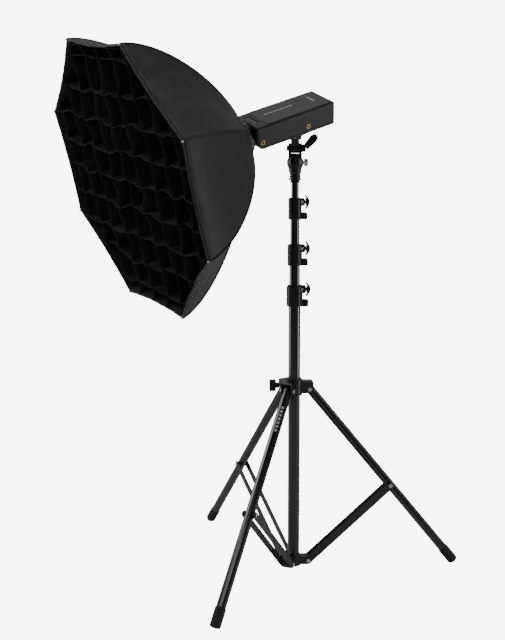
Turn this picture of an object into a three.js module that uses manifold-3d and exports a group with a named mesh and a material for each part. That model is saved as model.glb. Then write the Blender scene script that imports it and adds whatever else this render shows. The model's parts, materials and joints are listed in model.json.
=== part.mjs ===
// Studio softbox on a light stand: octagonal softbox, battery flash head, tilt head and a
// four-section stand with three folding legs. Millimetres, +Z up, standing on z = 0.
// The softbox faces -Y. The stand column is built on x = y = 0 and the whole is then centred.
import * as THREE from 'three';
import { mergeVertices } from 'three/addons/utils/BufferGeometryUtils.js';
import Module from 'manifold-3d';

const wasm = await Module();
wasm.setup();

const degrees = Math.PI / 180;
const wideSides = 24;          // sides of large round pieces
const sides = 12;              // sides of small round pieces
const smallSides = 8;          // sides of bolts and rivets

// ---------- driving dimensions ----------

const slideGap = 0.3;          // between a tube and what slides on it or in it
const seatGap = 0.3;           // between two pieces that touch
const pinGap = 0.3;            // round a pin or screw in its hole
const wingGap = 0.5;           // between a clamp's boss and its wing

// Column: four nested tubes, the outermost first
const tubeRadii = [12.5, 11, 9.5, 8];
const tubeWall = 1.2;
const tubeBottoms = [6.3, 110, 150, 190];
const clampBottoms = [559, 643, 737];
const clampHeight = 44;
const clampWall = 4.2;
const clampSeat = 28;          // depth of a tube's top end inside its clamp
const clampAzimuth = 56 * degrees;
const clampScrewDrop = 8.5;    // screw's axis below the clamp's top
const bossReach = 11;          // boss and lug past the clamp's own tube
const lugReach = 16;
const wingHalf = 15;           // half the span of a clamp's wing
const wingDepth = 9;
const wingThickness = 6;
const wingRise = 4.5;          // half the height of a clamp's wing
const wingHubRadius = 6.5;
const bossHeight = 16;
const bossHalf = 7.5;
const lugHeight = 14;
const lugHalf = 8;
const lugLevel = 7.4;          // middle of the lug above the clamp's bottom
const clampSlotWidth = 1.4;
const clampSlotHeight = 20;
const spigotTop = 846;
const spigotFlangeHeight = 811;
const spigotInsert = 22;       // stem inside the top tube
const spigotFlangeLip = 2;
const spigotBevel = 1.5;

// Legs
const legAzimuths = [61.3, 181.3, 301.3].map((angle) => angle * degrees);
const footSpread = 342.4;      // column axis to the end of a leg
const footHeight = 8;          // height of a leg's axis at its end
const legPivotHeight = 386.8;
const legRadius = 9.5;
const legWall = 1.2;
const legOverhang = 8;         // tube above its pivot
const legEndSetback = 6;       // tube end short of the foot point
const footWall = 1.2;
const footRadius = legRadius + slideGap + footWall;
const footLength = 38;
const footOverhang = 5.5;      // foot cap past the leg's end, cut flat at the floor
const pivotPinRadius = 2.8;

// Braces
const hubPivotSpread = 30.5;
const hubPivotHeight = 15;
const braceShare = 0.556;      // place of the brace on the leg, from pivot to foot
const braceWidth = 14;
const braceThickness = 2;
const hubPinRadius = 2.4;
const rivetHeadRadius = 4.2;
const rivetHeadHeight = 1.8;

// Leg collar and lower hub
const collarRadius = 17;
const legStandoff = 5;         // leg tube clear of the collar ring
const legPivotSpread = collarRadius + legRadius + legStandoff;
const collarBottom = 373;
const collarTop = 408;
const armWall = 2.5;
const armEnd = 8;              // arm past the pivot
const armRoof = 3.2;
const hubRadius = 17;
const hubTop = 25;
const collarKnobHeight = 393.5;
const collarKnobRadius = 12.5;
const collarKnobStart = 38.5;
const collarKnobLength = 13;
const collarKnobGroove = 1.1;
const collarBossRadius = 6;
const collarBossReach = 6;     // boss past the collar ring

// Tilt head
const socketBottom = 816;
const hingeHeight = 880;
const hingeRadius = 10;
const tongueHalf = 8;
const cheekWidth = 5;
const plateWidth = 40;
const plateLength = 46;
const plateThickness = 5;
const screwRadius = 3;
const wheelRadius = 10.6;
const wheelHeight = 6.5;
const wheelGap = 0.4;          // round the screw's wheel in its window
const windowRoof = 3;
const screwEngage = 8;         // mounting screw past the plate
const screwRoom = 1.5;         // hole past the screw's end
const socketHeight = 44.5;
const socketKnobRadius = 7.5;
const socketKnobStart = 18;
const socketKnobEnd = 26;
const leverLean = 42;          // degrees that the lever leans outward

// Flash, placed on the softbox axis and turned on its screw
const headTilt = 17.5 * degrees;
const flashRoll = 22 * degrees;
const softboxRoll = 8.4 * degrees;
const headOffset = [22.8, -13, 935.2];
const flashWidth = 74.6;
const flashHeight = 51.2;
const flashFront = -123.3;
const flashRear = 69.7;
const lampDrop = 5.8;          // softbox axis below the middle of the casing
const casingCorner = 7;
const coverInset = 4.5;
const coverDepth = 2.6;
const coverFront = -95;
const coverRear = 63;
const insertRadius = 4.6;
const insertBore = 2.6;
const insertDepth = 6;
const insertStations = [-108, 1.5];
const insertLevel = -8;
const batteryWidth = 58;
const batteryHeight = 32;
const batteryLength = 52;
const batteryLevel = -2;
const batteryGripInset = 7;    // grip bar short of each side of the battery
const latchWidth = 14;
const latchDepth = 4;
const latchHeight = 3.2;
const latchDrop = 7.4;         // middle of the latch below the casing's top
const latchProud = 1.6;        // latch out of the rear face
const latchSideGap = 1.5;
const latchBackGap = 0.6;
const latchRoom = 2.8;         // pocket taller than the latch, for its travel
const panelWidth = 78;
const panelHeight = 30;
const panelDepth = 1.5;
const panelStation = -20;
const releaseStation = -108;
const releaseWidth = 30;
const releaseLength = 9.5;
const releaseThickness = 2;
const releaseSink = 2.1;       // underside of the button below the casing's top
const releaseSideGap = 2;
const releaseRoom = 3.5;       // pocket longer than the button, for its travel
const releaseOffset = 1;       // button's rest place ahead of the pocket's middle
const ribPitch = 2;
const ribWidth = 0.9;
const ribInset = 2;            // ribs short of each end of the button
const controlDepth = 4;        // dial and buttons inside the side
const controlRoom = 3;         // holes past their inner ends
// Station along the flash, radius, height proud of the side, name
const controls = [[-44, 9.5, 3.5, 'control_dial'], [4, 4, 2, 'power_button'], [-12, 4, 2, 'test_button']];

// Adaptor and speed ring
const adaptorRadius = 32;
const adaptorBore = 23;
const sleeveRadius = 26.5;
const ringRadius = 50;
const ringFront = -154;
const ringRear = -140;
const ringGap = 0.5;
const rodSocketLength = 9;
const rodSocketRadius = 3.6;
const rodSocketGap = 0.7;      // the rods sit loosely in the ring
const lipRadius = 29.5;
const lipThickness = 2.4;
const domeRadius = 15;
const domeLength = 34;
const domeWall = 1.5;
const flashTubeRadius = 8;     // ring of the flash tube, and the spacing of its legs

// Softbox
const softboxFront = -389.7;
const softboxDepth = 259.7;    // where the rods' curve would meet the axis
const softboxRadius = 270.7;   // to a corner of the rim
const curveHubRadius = 20;
const curveBend = 1.47;
const curveFullness = 1.26;
const shellWall = 1.2;
const shellRearDepth = 243;
const rodRadius = 1.8;
const rodInset = 5;
const gridDepth = 42;
const gridProud = 2;           // grid's front edge ahead of the rim
const gridClearance = 2;
const gridStrip = 1.2;
const gridPitch = 54;
const diffuserGap = 4;
const sheetThickness = 1;
const baffleDepth = 140;
const sheetClearance = 4.5;
const baffleMargin = 6;

// ---------- materials ----------

const paint = (color, roughness, metalness) =>
  new THREE.MeshStandardMaterial({ color, roughness, metalness });
const blackTube = paint(0x101112, 0.25, 0.6);
const blackPlastic = paint(0x161718, 0.5, 0);
const castBlack = paint(0x1c1d1f, 0.4, 0.5);
const rubber = paint(0x141414, 0.85, 0);
const steel = paint(0xc4c4c2, 0.3, 1);
const brass = paint(0xb98a3c, 0.35, 1);
const satinGrey = paint(0x34373a, 0.45, 0);
const gripGrey = paint(0x6f7275, 0.5, 0);
const ringMetal = paint(0x8f9295, 0.4, 0.8);
const blackCloth = paint(0x24282a, 0.8, 0);
const gridCloth = paint(0x0c0d0e, 0.9, 0);
const whiteCloth = paint(0xe8e8e4, 0.9, 0);
const rodFibre = paint(0xd9d9d4, 0.5, 0);
const glass = paint(0xf2f0ea, 0.1, 0);

// ---------- shape helpers ----------

const model = new THREE.Group();

function solid(geometry) {
  const source = (geometry.index ? geometry.toNonIndexed() : geometry.clone());
  source.deleteAttribute('normal');
  source.deleteAttribute('uv');
  const merged = mergeVertices(source, 1e-4);
  const vertProperties = new Float32Array(merged.attributes.position.array);
  const triVerts = new Uint32Array(merged.index.array);
  return new wasm.Manifold(new wasm.Mesh({ numProp: 3, vertProperties, triVerts }));
}

function toGeometry(manifold) {
  const result = manifold.getMesh();
  const geometry = new THREE.BufferGeometry();
  geometry.setAttribute('position', new THREE.BufferAttribute(new Float32Array(result.vertProperties), 3));
  geometry.setIndex(new THREE.BufferAttribute(new Uint32Array(result.triVerts), 1));
  geometry.computeVertexNormals();
  return geometry;
}

function piece(parent, name, shape, material) {
  const mesh = new THREE.Mesh(toGeometry(shape), material);
  mesh.name = name;
  parent.add(mesh);
}

function group(parent, place = {}) {
  const result = new THREE.Group();
  result.position.set(...(place.at ?? [0, 0, 0]));
  result.rotation.set(...(place.turn ?? [0, 0, 0]));
  parent.add(result);
  return result;
}

const join = (first, ...others) => others.reduce((all, other) => all.add(other), first);
const cut = (first, ...others) => others.reduce((all, other) => all.subtract(other), first);

// A solid of revolution about Z from [radius, height] points, counter-clockwise.
function turned(points, count = sides) {
  const outline = points.map(([radius, height]) => new THREE.Vector2(radius, height));
  return solid(new THREE.LatheGeometry(outline, count).rotateX(Math.PI / 2));
}

function rod(radius, from, to, count = sides) {
  return turned([[0, from], [radius, from], [radius, to], [0, to]], count);
}

function pipe(outer, inner, from, to, count = sides) {
  return turned([[inner, from], [outer, from], [outer, to], [inner, to], [inner, from]], count);
}

function block(width, depth, height, centre) {
  return solid(new THREE.BoxGeometry(width, depth, height)).translate(centre);
}

// A flat outline in x and y, raised along Z.
function raised(shape, from, to, curveSegments = 3) {
  const geometry = new THREE.ExtrudeGeometry(shape, { depth: to - from, bevelEnabled: false, curveSegments });
  return solid(geometry).translate([0, 0, from]);
}

function polygon(points) {
  return new THREE.Shape(points.map(([x, y]) => new THREE.Vector2(x, y)));
}

// A rectangle with rounded corners: radii go round from the low corner, anticlockwise.
function roundedRectangle(width, height, radii) {
  const [a, b, c, d] = Array.isArray(radii) ? radii : [radii, radii, radii, radii];
  const x = width / 2;
  const y = height / 2;
  const shape = new THREE.Shape();
  shape.moveTo(-x + a, -y);
  shape.lineTo(x - b, -y);
  shape.absarc(x - b, -y + b, b, -Math.PI / 2, 0);
  shape.lineTo(x, y - c);
  shape.absarc(x - c, y - c, c, 0, Math.PI / 2);
  shape.lineTo(-x + d, y);
  shape.absarc(-x + d, y - d, d, Math.PI / 2, Math.PI);
  shape.lineTo(-x, -y + a);
  shape.absarc(-x + a, -y + a, a, Math.PI, Math.PI * 1.5);
  return shape;
}

const alongX = (shape) => shape.rotate([0, 90, 0]);
const alongY = (shape) => shape.rotate([-90, 0, 0]);

// ---------- column and clamps ----------

const tubeTops = [...clampBottoms.map((bottom) => bottom + clampSeat), spigotFlangeHeight - seatGap];

tubeRadii.forEach((radius, index) => {
  const tube = pipe(radius, radius - tubeWall, tubeBottoms[index], tubeTops[index], wideSides);
  piece(model, `tube_${index + 1}`, tube, blackTube);
});

const spigotStem = tubeRadii[3] - tubeWall - slideGap;
const spigot = turned([[0, spigotFlangeHeight - spigotInsert],
  [spigotStem, spigotFlangeHeight - spigotInsert],
  [spigotStem, spigotFlangeHeight], [tubeRadii[3] + spigotFlangeLip, spigotFlangeHeight],
  [tubeRadii[3] + spigotFlangeLip, socketBottom - seatGap], [tubeRadii[3], socketBottom - seatGap],
  [tubeRadii[3], spigotTop - spigotBevel], [tubeRadii[3] - spigotBevel, spigotTop], [0, spigotTop]]);
piece(model, 'spigot', spigot, steel);

// A clamp grips the tube inside its own tube. Its boss carries a screw with a crescent wing.
function clampBody(ownRadius, innerRadius) {
  const outer = ownRadius + clampWall;
  const body = turned([[0, 0], [outer - 1.5, 0], [outer, 2], [outer, clampHeight - 4],
    [outer - 2.5, clampHeight], [0, clampHeight]], wideSides);
  const bossEnd = ownRadius + bossReach;
  const lugEnd = ownRadius + lugReach;
  const screwHeight = clampHeight - clampScrewDrop;
  const boss = raised(roundedRectangle(bossEnd, bossHeight, [1, 4, 5, 1]), -bossHalf, bossHalf)
    .rotate([90, 0, 0]).translate([bossEnd / 2, 0, screwHeight]);
  const lug = raised(roundedRectangle(lugEnd, lugHeight, [1, 3, 4, 1]), -lugHalf, lugHalf)
    .rotate([90, 0, 0]).translate([lugEnd / 2, 0, lugLevel]);
  const lowerBore = rod(ownRadius + slideGap, -1, clampSeat + seatGap, wideSides);
  const upperBore = rod(innerRadius + slideGap + 0.1, clampSeat, clampHeight + 1, wideSides);
  const slot = block(bossEnd, clampSlotWidth, clampSlotHeight,
    [ownRadius + bossEnd / 2, 0, clampHeight - 8]);
  const screwHole = alongX(rod(screwRadius + pinGap, 0, lugEnd + 2)).translate([0, 0, screwHeight]);
  return cut(join(body, boss, lug), lowerBore, upperBore, slot, screwHole);
}

function wingKnob(ownRadius) {
  const start = ownRadius + bossReach + wingGap;
  const wing = new THREE.Shape();
  wing.moveTo(0, -wingHalf);
  wing.quadraticCurveTo(2 * wingDepth, 0, 0, wingHalf);
  wing.lineTo(-1.5, wingHalf - 2.5);
  wing.quadraticCurveTo(2 * (wingDepth - wingThickness) + 1.5, 0, -1.5, 2.5 - wingHalf);
  const crescent = raised(wing, -wingRise, wingRise, 8).rotate([90, 0, 0]).translate([start, 0, 0]);
  const hub = alongX(rod(wingHubRadius, start, start + wingDepth - 2));
  const shaft = alongX(rod(screwRadius, ownRadius + 1.5, start + 1));
  return join(crescent, hub, shaft);
}

clampBottoms.forEach((bottom, index) => {
  const place = group(model, { at: [0, 0, bottom], turn: [0, 0, clampAzimuth] });
  piece(place, `clamp_${index + 1}`, clampBody(tubeRadii[index], tubeRadii[index + 1]), blackPlastic);
  const knob = group(place, { at: [0, 0, clampHeight - clampScrewDrop] });
  piece(knob, `clamp_knob_${index + 1}`, wingKnob(tubeRadii[index]), blackPlastic);
});

// ---------- legs, braces, collar and hub ----------

const legDrop = legPivotHeight - footHeight;
const legReach = footSpread - legPivotSpread;
const legLength = Math.hypot(legReach, legDrop);
const legAngle = Math.atan2(legReach, legDrop);
const braceTop = [legPivotSpread + legReach * braceShare, legPivotHeight - legDrop * braceShare];
const braceReach = braceTop[0] - hubPivotSpread;
const braceRise = braceTop[1] - hubPivotHeight;
const braceLength = Math.hypot(braceReach, braceRise);
const braceAngle = Math.atan2(braceReach, braceRise);
const cheekHalf = legRadius + 0.5;
const braceInner = footRadius + slideGap;

// A hole across a leg arm, tube or lug, at a height and reach in that arm's own plane.
const crossHole = (radius, reach, height) => alongY(rod(radius, -30, 30)).translate([reach, 0, height]);

function collarArm() {
  const end = legPivotSpread + armEnd;
  const start = collarRadius - 6;
  const roof = collarTop - 4.5;
  const low = legPivotHeight - 9;
  const side = polygon([[start, low], [end - 3, low], [end, low + 4], [end, roof - 2], [end - 3, roof],
    [start, roof]]);
  const whole = raised(side, -cheekHalf - armWall, cheekHalf + armWall).rotate([90, 0, 0]);
  const channel = block(end, 2 * cheekHalf, roof - armRoof - low + 10,
    [collarRadius + 1 + end / 2, 0, (low - 10 + roof - armRoof) / 2]);
  return cut(whole, channel, crossHole(pivotPinRadius + pinGap, legPivotSpread, legPivotHeight));
}

function hubLug() {
  const radius = 8.5;
  const start = hubRadius - 4;
  const plate = raised(polygon([[start, -radius], [hubPivotSpread, -radius], [hubPivotSpread, radius],
    [start, radius]]), -footRadius, footRadius).rotate([90, 0, 0]).translate([0, 0, hubPivotHeight]);
  const nose = alongY(rod(radius, -footRadius, footRadius)).translate([hubPivotSpread, 0, hubPivotHeight]);
  return cut(join(plate, nose), crossHole(hubPinRadius + pinGap, hubPivotSpread, hubPivotHeight));
}

function aroundColumn(shape) {
  return legAzimuths.map((angle) => shape.rotate([0, 0, angle / degrees]));
}

const columnBore = tubeRadii[0] + slideGap;
const knobAzimuth = (legAzimuths[1] + legAzimuths[2]) / 2;
const collarRing = turned([[0, collarBottom], [collarRadius - 1, collarBottom],
  [collarRadius, collarBottom + 1], [collarRadius, collarTop - 1.5], [collarRadius - 1.5, collarTop],
  [0, collarTop]], wideSides);
const collarHole = alongX(rod(screwRadius + pinGap, 0, 30)).translate([0, 0, collarKnobHeight])
  .rotate([0, 0, knobAzimuth / degrees]);
const collarBoss = alongX(rod(collarBossRadius, 10, collarRadius + collarBossReach)).translate([0, 0,
  collarKnobHeight])
  .rotate([0, 0, knobAzimuth / degrees]);
const collar = cut(join(collarRing, collarBoss, ...aroundColumn(collarArm())),
  rod(columnBore, collarBottom - 20, collarTop + 5, wideSides), collarHole);
piece(model, 'leg_collar', collar, castBlack);

const knobPlace = group(model, { at: [0, 0, collarKnobHeight], turn: [0, 0, knobAzimuth] });
const knobGrip = new THREE.Shape();
const knobRibs = 14;
for (let step = 0; step < knobRibs * 4; step += 1) {
  const angle = (step / (knobRibs * 4)) * 2 * Math.PI;
  const radius = collarKnobRadius - (step % 4 === 0 ? collarKnobGroove : 0);
  const point = [radius * Math.cos(angle), radius * Math.sin(angle)];
  if (step === 0) knobGrip.moveTo(...point);
  else knobGrip.lineTo(...point);
}
const knobHead = raised(knobGrip, collarKnobStart, collarKnobStart + collarKnobLength);
const knobNeck = rod(collarBossRadius, collarKnobStart - 6, collarKnobStart + 1);
const knobShaft = rod(screwRadius, tubeRadii[0] + 1.5, collarKnobStart);
piece(knobPlace, 'leg_collar_knob', alongX(join(knobHead, knobNeck, knobShaft)), blackPlastic);

const hubRing = turned([[0, 3], [hubRadius - 2, 3], [hubRadius, 5], [hubRadius, hubTop - 2],
  [hubRadius - 2, hubTop], [0, hubTop]], wideSides);
const hub = cut(join(hubRing, ...aroundColumn(hubLug())),
  rod(columnBore, tubeBottoms[0] - seatGap, hubTop + 5, wideSides), rod(4, 0, 10));
piece(model, 'lower_hub', hub, castBlack);

function pivotBolt(radius, half) {
  const head = 4.6;
  return alongY(turned([[0, -half - 4], [head - 0.8, -half - 4], [head, -half - 3.2], [head, -half],
    [radius, -half], [radius, half], [head, half], [head, half + 2.6], [head - 0.8, half + 3.4],
    [0, half + 3.4]], smallSides));
}

// Leg, foot and brace in the plane of one leg: x outward, z up.
legAzimuths.forEach((azimuth, index) => {
  const number = index + 1;
  const plane = group(model, { turn: [0, 0, azimuth] });
  const bolt = group(plane, { at: [legPivotSpread, 0, legPivotHeight] });
  piece(bolt, `leg_bolt_${number}`, pivotBolt(pivotPinRadius, cheekHalf + armWall + 0.2), steel);

  const leg = group(plane, { at: [legPivotSpread, 0, legPivotHeight], turn: [0, -legAngle, 0] });
  const tubeEnd = legLength - legEndSetback;
  const tube = cut(pipe(legRadius, legRadius - legWall, -tubeEnd, legOverhang),
    crossHole(pivotPinRadius + pinGap, 0, 0));
  piece(leg, `leg_tube_${number}`, tube, blackTube);

  const capEnd = legLength + footOverhang;
  const cap = turned([[0, -capEnd], [footRadius - 3.5, -capEnd], [footRadius - 1, -capEnd + 1],
    [footRadius, -capEnd + 3.5], [footRadius, -capEnd + footLength - 1],
    [footRadius - 1, -capEnd + footLength], [0, -capEnd + footLength]]);
  const socket = rod(legRadius + slideGap, -tubeEnd - seatGap, 0);
  const foot = cut(cap, socket).rotate([0, -legAngle / degrees, 0])
    .translate([legPivotSpread, 0, legPivotHeight]);
  const floor = block(120, 120, 60, [footSpread, 0, -30]);
  piece(plane, `leg_foot_${number}`, cut(foot, floor), rubber);

  const brace = group(plane, { at: [hubPivotSpread, 0, hubPivotHeight], turn: [0, braceAngle, 0] });
  const strip = new THREE.Shape();
  strip.absarc(0, 0, braceWidth / 2, Math.PI, 2 * Math.PI);
  strip.absarc(0, braceLength, braceWidth / 2, 0, Math.PI);
  const outer = braceInner + braceThickness;
  const head = rod(rivetHeadRadius, outer - 0.2, outer + rivetHeadHeight, smallSides);
  const side = join(raised(strip, braceInner, outer, 5), head, head.translate([0, braceLength, 0]));
  const near = side.rotate([90, 0, 0]);
  const pin = alongY(rod(hubPinRadius, -outer, outer, smallSides));
  piece(brace, `brace_${number}`, join(near, near.mirror([0, 1, 0]), pin), blackPlastic);
});

// ---------- tilt head ----------

// The flash frame: x across the casing, y back along it, z out of its top.
const headEuler = new THREE.Euler(headTilt, 0, 0);
const flashTurn = new THREE.Matrix4().makeRotationFromEuler(headEuler)
  .multiply(new THREE.Matrix4().makeRotationY(flashRoll));
const flashUp = new THREE.Vector3(0, 0, 1).transformDirection(flashTurn);
const flashBack = new THREE.Vector3(0, 1, 0).transformDirection(flashTurn);
const headPlace = new THREE.Vector3(...headOffset);
const flashCentre = headPlace.clone().addScaledVector(flashUp, lampDrop);
const hingePoint = new THREE.Vector3(0, 0, hingeHeight);
const leanAzimuth = Math.atan2(flashUp.y, flashUp.x);
const leanAngle = Math.acos(flashUp.z);
const plateTop = flashCentre.clone().sub(hingePoint).dot(flashUp) - flashHeight / 2 - seatGap;
const hingeTurn = new THREE.Group();
hingeTurn.position.copy(hingePoint);
hingeTurn.rotation.set(0, leanAngle, leanAzimuth, 'ZYX');
model.add(hingeTurn);

// In the hinge frame: z along the tongue, y along the hinge pin, x the way it leans.
const upright = group(model, { at: [0, 0, 0], turn: [0, 0, leanAzimuth] });
const cheekInner = tongueHalf + seatGap;
const cheekOuter = cheekInner + cheekWidth;
const socketTop = socketBottom + socketHeight;
const socketProfile = [[0, socketBottom], [12.9, socketBottom], [12.9, socketBottom + 3],
  [10.6, socketBottom + 4], [10.6, socketBottom + 6], [11.6, socketBottom + 7.5], [10.6, socketBottom + 9],
  [10.6, socketBottom + 11], [12, socketBottom + 12.5], [11.4, socketBottom + 14.5],
  [13, socketBottom + 17], [13, socketBottom + 22], [15, socketBottom + 27], [16.8, socketBottom + 32],
  [16.8, socketBottom + 39], [14.6, socketTop], [0, socketTop]];
const cheek = join(alongY(rod(hingeRadius, cheekInner, cheekOuter, wideSides)).translate([0, 0, hingeHeight]),
  block(2 * hingeRadius, cheekWidth, hingeHeight - socketTop + 2,
    [0, -(cheekInner + cheekOuter) / 2, (hingeHeight + socketTop - 2) / 2]));
const yokeBottom = socketTop - 1.5;
const yokeTop = hingeHeight - hingeRadius - 0.5;
const yokeBase = block(2 * hingeRadius - 2, 2 * cheekOuter, yokeTop - yokeBottom,
  [0, 0, (yokeTop + yokeBottom) / 2]);
const hingeHole = alongY(rod(screwRadius + pinGap, -30, 30)).translate([0, 0, hingeHeight]);
const socketKnobHeight = socketBottom + 35.5;
const socketKnobHole = alongX(rod(screwRadius + pinGap, 0, 30)).translate([0, 0, socketKnobHeight])
  .rotate([0, 0, 90]);
const socket = cut(join(turned(socketProfile), yokeBase, cheek, cheek.mirror([0, 1, 0])),
  rod(tubeRadii[3] + slideGap, socketBottom - 1, spigotTop + 3, wideSides), hingeHole, socketKnobHole);
piece(upright, 'head_socket', socket, blackPlastic);

const socketKnobPlace = group(upright, { at: [0, 0, socketKnobHeight], turn: [0, 0, Math.PI / 2] });
const socketKnob = join(alongX(rod(screwRadius, tubeRadii[3] + 1.2, socketKnobStart + 1)),
  alongX(rod(socketKnobRadius, socketKnobStart, socketKnobEnd)));
piece(socketKnobPlace, 'socket_knob', socketKnob, steel);

const neckHalfWidth = 13.2;
const neckDepth = 14;
const plateBottom = plateTop - plateThickness;
const wheelBottom = plateBottom - windowRoof - wheelHeight - seatGap;
const plateTurn = Math.atan2(
  flashBack.clone().cross(new THREE.Vector3(0, 1, 0).applyEuler(hingeTurn.rotation)).dot(flashUp) * -1,
  flashBack.dot(new THREE.Vector3(0, 1, 0).applyEuler(hingeTurn.rotation)));
const knuckle = alongY(rod(hingeRadius, -tongueHalf, tongueHalf, wideSides));
const stem = block(neckDepth, 2 * tongueHalf, wheelBottom - 3, [0, 0, (wheelBottom - 3) / 2]);
const neck = block(neckDepth, 2 * neckHalfWidth, plateBottom - wheelBottom + 5,
  [0, 0, (plateBottom + wheelBottom - 3) / 2]);
const plate = raised(roundedRectangle(plateWidth, plateLength, 4), plateBottom, plateTop)
  .rotate([0, 0, -plateTurn / degrees]);
const window = block(neckDepth + 4, 2 * (wheelRadius + wheelGap), wheelHeight + 2 * seatGap,
  [0, 0, wheelBottom + wheelHeight / 2]);
const tiltBlock = cut(join(knuckle, stem, neck, plate), window,
  alongY(rod(screwRadius + pinGap, -30, 30)), rod(screwRadius + pinGap, wheelBottom, plateTop + 1));
piece(hingeTurn, 'tilt_block', tiltBlock, blackPlastic);

const flangeScrew = join(rod(wheelRadius, wheelBottom, wheelBottom + wheelHeight),
  rod(screwRadius, wheelBottom + 1, plateTop + screwEngage));
piece(hingeTurn, 'mount_screw', flangeScrew, steel);

const leverPlace = group(upright, { at: [0, 0, hingeHeight] });
const leverShaft = alongY(turned([[0, -cheekOuter - 4], [5.5, -cheekOuter - 4], [5.5, -cheekOuter - seatGap],
  [screwRadius, -cheekOuter - seatGap], [screwRadius, cheekOuter + seatGap],
  [7.5, cheekOuter + seatGap], [7.5, cheekOuter + 8], [0, cheekOuter + 8]]));
const paddle = new THREE.Shape();
paddle.moveTo(-6, 0);
paddle.lineTo(-8, 22);
paddle.quadraticCurveTo(-8, 34, 0, 34);
paddle.quadraticCurveTo(8, 34, 8, 22);
paddle.lineTo(6, 0);
const arm = raised(paddle, -3.6, 3.6, 4).rotate([90, 0, 90]).rotate([-leverLean, 0, 0])
  .translate([0, cheekOuter + 7, 0]);
piece(leverPlace, 'tilt_lever', join(leverShaft, arm.translate([0, 0, 1])), blackPlastic);

// ---------- flash head ----------

const head = group(model, { at: headOffset, turn: [headTilt, 0, 0] });
const flashAxis = group(head, { turn: [0, flashRoll, 0] });
const flash = group(flashAxis, { at: [0, 0, lampDrop] });
const flashLength = flashRear - flashFront;
const flashMiddle = (flashRear + flashFront) / 2;

function casingShape() {
  const end = raised(roundedRectangle(flashWidth, flashHeight, [11, 11, casingCorner, casingCorner]),
    flashFront, flashRear).rotate([-90, 0, 0]).mirror([0, 0, 1]);
  const sideView = raised(roundedRectangle(flashLength, flashHeight, [26, 10, casingCorner, 7]),
    -flashWidth, flashWidth, 6).rotate([90, 0, 90]).translate([0, flashMiddle, 0]);
  const topView = raised(roundedRectangle(flashWidth, flashLength, casingCorner), -flashHeight, flashHeight)
    .translate([0, flashMiddle, 0]);
  return end.intersect(sideView).intersect(topView);
}

const flashTop = flashHeight / 2;
const coverMiddle = (coverFront + coverRear) / 2;
const coverWidth = flashWidth - 2 * coverInset;
const coverLength = coverRear - coverFront;
const coverFloor = flashTop - coverDepth;
const coverOutline = (grow) => roundedRectangle(coverWidth + 2 * grow, coverLength + 2 * grow, 5 + grow);
const insertHoles = insertStations.map((station) => alongX(rod(insertRadius + pinGap, 0, insertDepth + 2))
  .translate([flashWidth / 2 - insertDepth, station, insertLevel]));
const batteryBay = block(batteryWidth + 2 * seatGap, batteryLength + 20, batteryHeight + 2 * seatGap,
  [0, flashRear - batteryLength - seatGap + (batteryLength + 20) / 2, batteryLevel]);
const panelHole = block(2 * (panelDepth + seatGap), panelWidth + 2 * seatGap, panelHeight + 2 * seatGap,
  [-flashWidth / 2, panelStation, 0]);
const releasePocket = block(releaseWidth + 2 * releaseSideGap, releaseLength + releaseRoom,
  2 * (releaseSink + seatGap), [0, releaseStation, flashTop]);
const latchPocket = block(latchWidth + 2 * latchSideGap, 2 * (latchDepth - latchProud + latchBackGap),
  latchHeight + latchRoom, [0, flashRear, flashTop - latchDrop]);
const screwSpot = hingePoint.clone().sub(flashCentre);
const screwAcross = screwSpot.dot(new THREE.Vector3(1, 0, 0).transformDirection(flashTurn));
const screwBack = screwSpot.dot(flashBack);
const screwHole = rod(screwRadius + pinGap, -flashTop - 1, -flashTop + screwEngage + screwRoom)
  .translate([screwAcross, screwBack, 0]);
const controlHoles = controls.map(([station, radius]) => alongX(rod(radius + pinGap, 0,
  1 + controlDepth + controlRoom))
  .translate([-flashWidth / 2 - 1, station, 0]));
const casing = cut(casingShape(), raised(coverOutline(seatGap), coverFloor - seatGap, flashTop + 5)
  .translate([0, coverMiddle, 0]), ...insertHoles, batteryBay, panelHole, releasePocket, latchPocket,
  screwHole, ...controlHoles);
piece(flash, 'flash_casing', casing, satinGrey);

const cover = raised(coverOutline(-seatGap), coverFloor, flashTop + 0.4).translate([0, coverMiddle, 0]);
piece(flash, 'flash_top_cover', cover, satinGrey);

insertStations.forEach((station, index) => {
  const bush = pipe(insertRadius, insertBore, 0, insertDepth - 0.6);
  const spot = [flashWidth / 2 - insertDepth + seatGap, station, insertLevel];
  piece(flash, `thread_insert_${index + 1}`, alongX(bush).translate(spot), brass);
});

const battery = join(
  block(batteryWidth, batteryLength, batteryHeight, [0, flashRear - batteryLength / 2, batteryLevel]),
  block(batteryWidth - 2 * batteryGripInset, 3, 4, [0, flashRear + 0.8, batteryLevel - 8]));
piece(flash, 'battery_pack', battery, blackPlastic);
const latch = block(latchWidth, latchDepth, latchHeight,
  [0, flashRear + latchProud - latchDepth / 2, flashTop - latchDrop]);
piece(flash, 'battery_latch', latch, gripGrey);

const releaseRest = releaseStation - releaseOffset;
const releaseRibs = [-2, -1, 0, 1, 2].map((rib) =>
  block(releaseWidth - 2 * ribInset, ribWidth, 1, [0, releaseRest + rib * ribPitch, flashTop]));
const releasePad = block(releaseWidth, releaseLength, releaseThickness,
  [0, releaseRest, flashTop - releaseSink + releaseThickness / 2]);
const release = join(releasePad, ...releaseRibs);
piece(flash, 'head_release', release, gripGrey);

// The control panel is a plate let into the far side, with holes for the dial and buttons.
const panelHoles = controls.map(([station, radius]) => alongX(rod(radius + pinGap, -5, 5))
  .translate([-flashWidth / 2, station, 0]));
const panel = cut(block(panelDepth, panelWidth, panelHeight,
  [-flashWidth / 2 + panelDepth / 2 + 0.1, panelStation, 0]), ...panelHoles);
piece(flash, 'control_panel', panel, blackPlastic);

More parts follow.
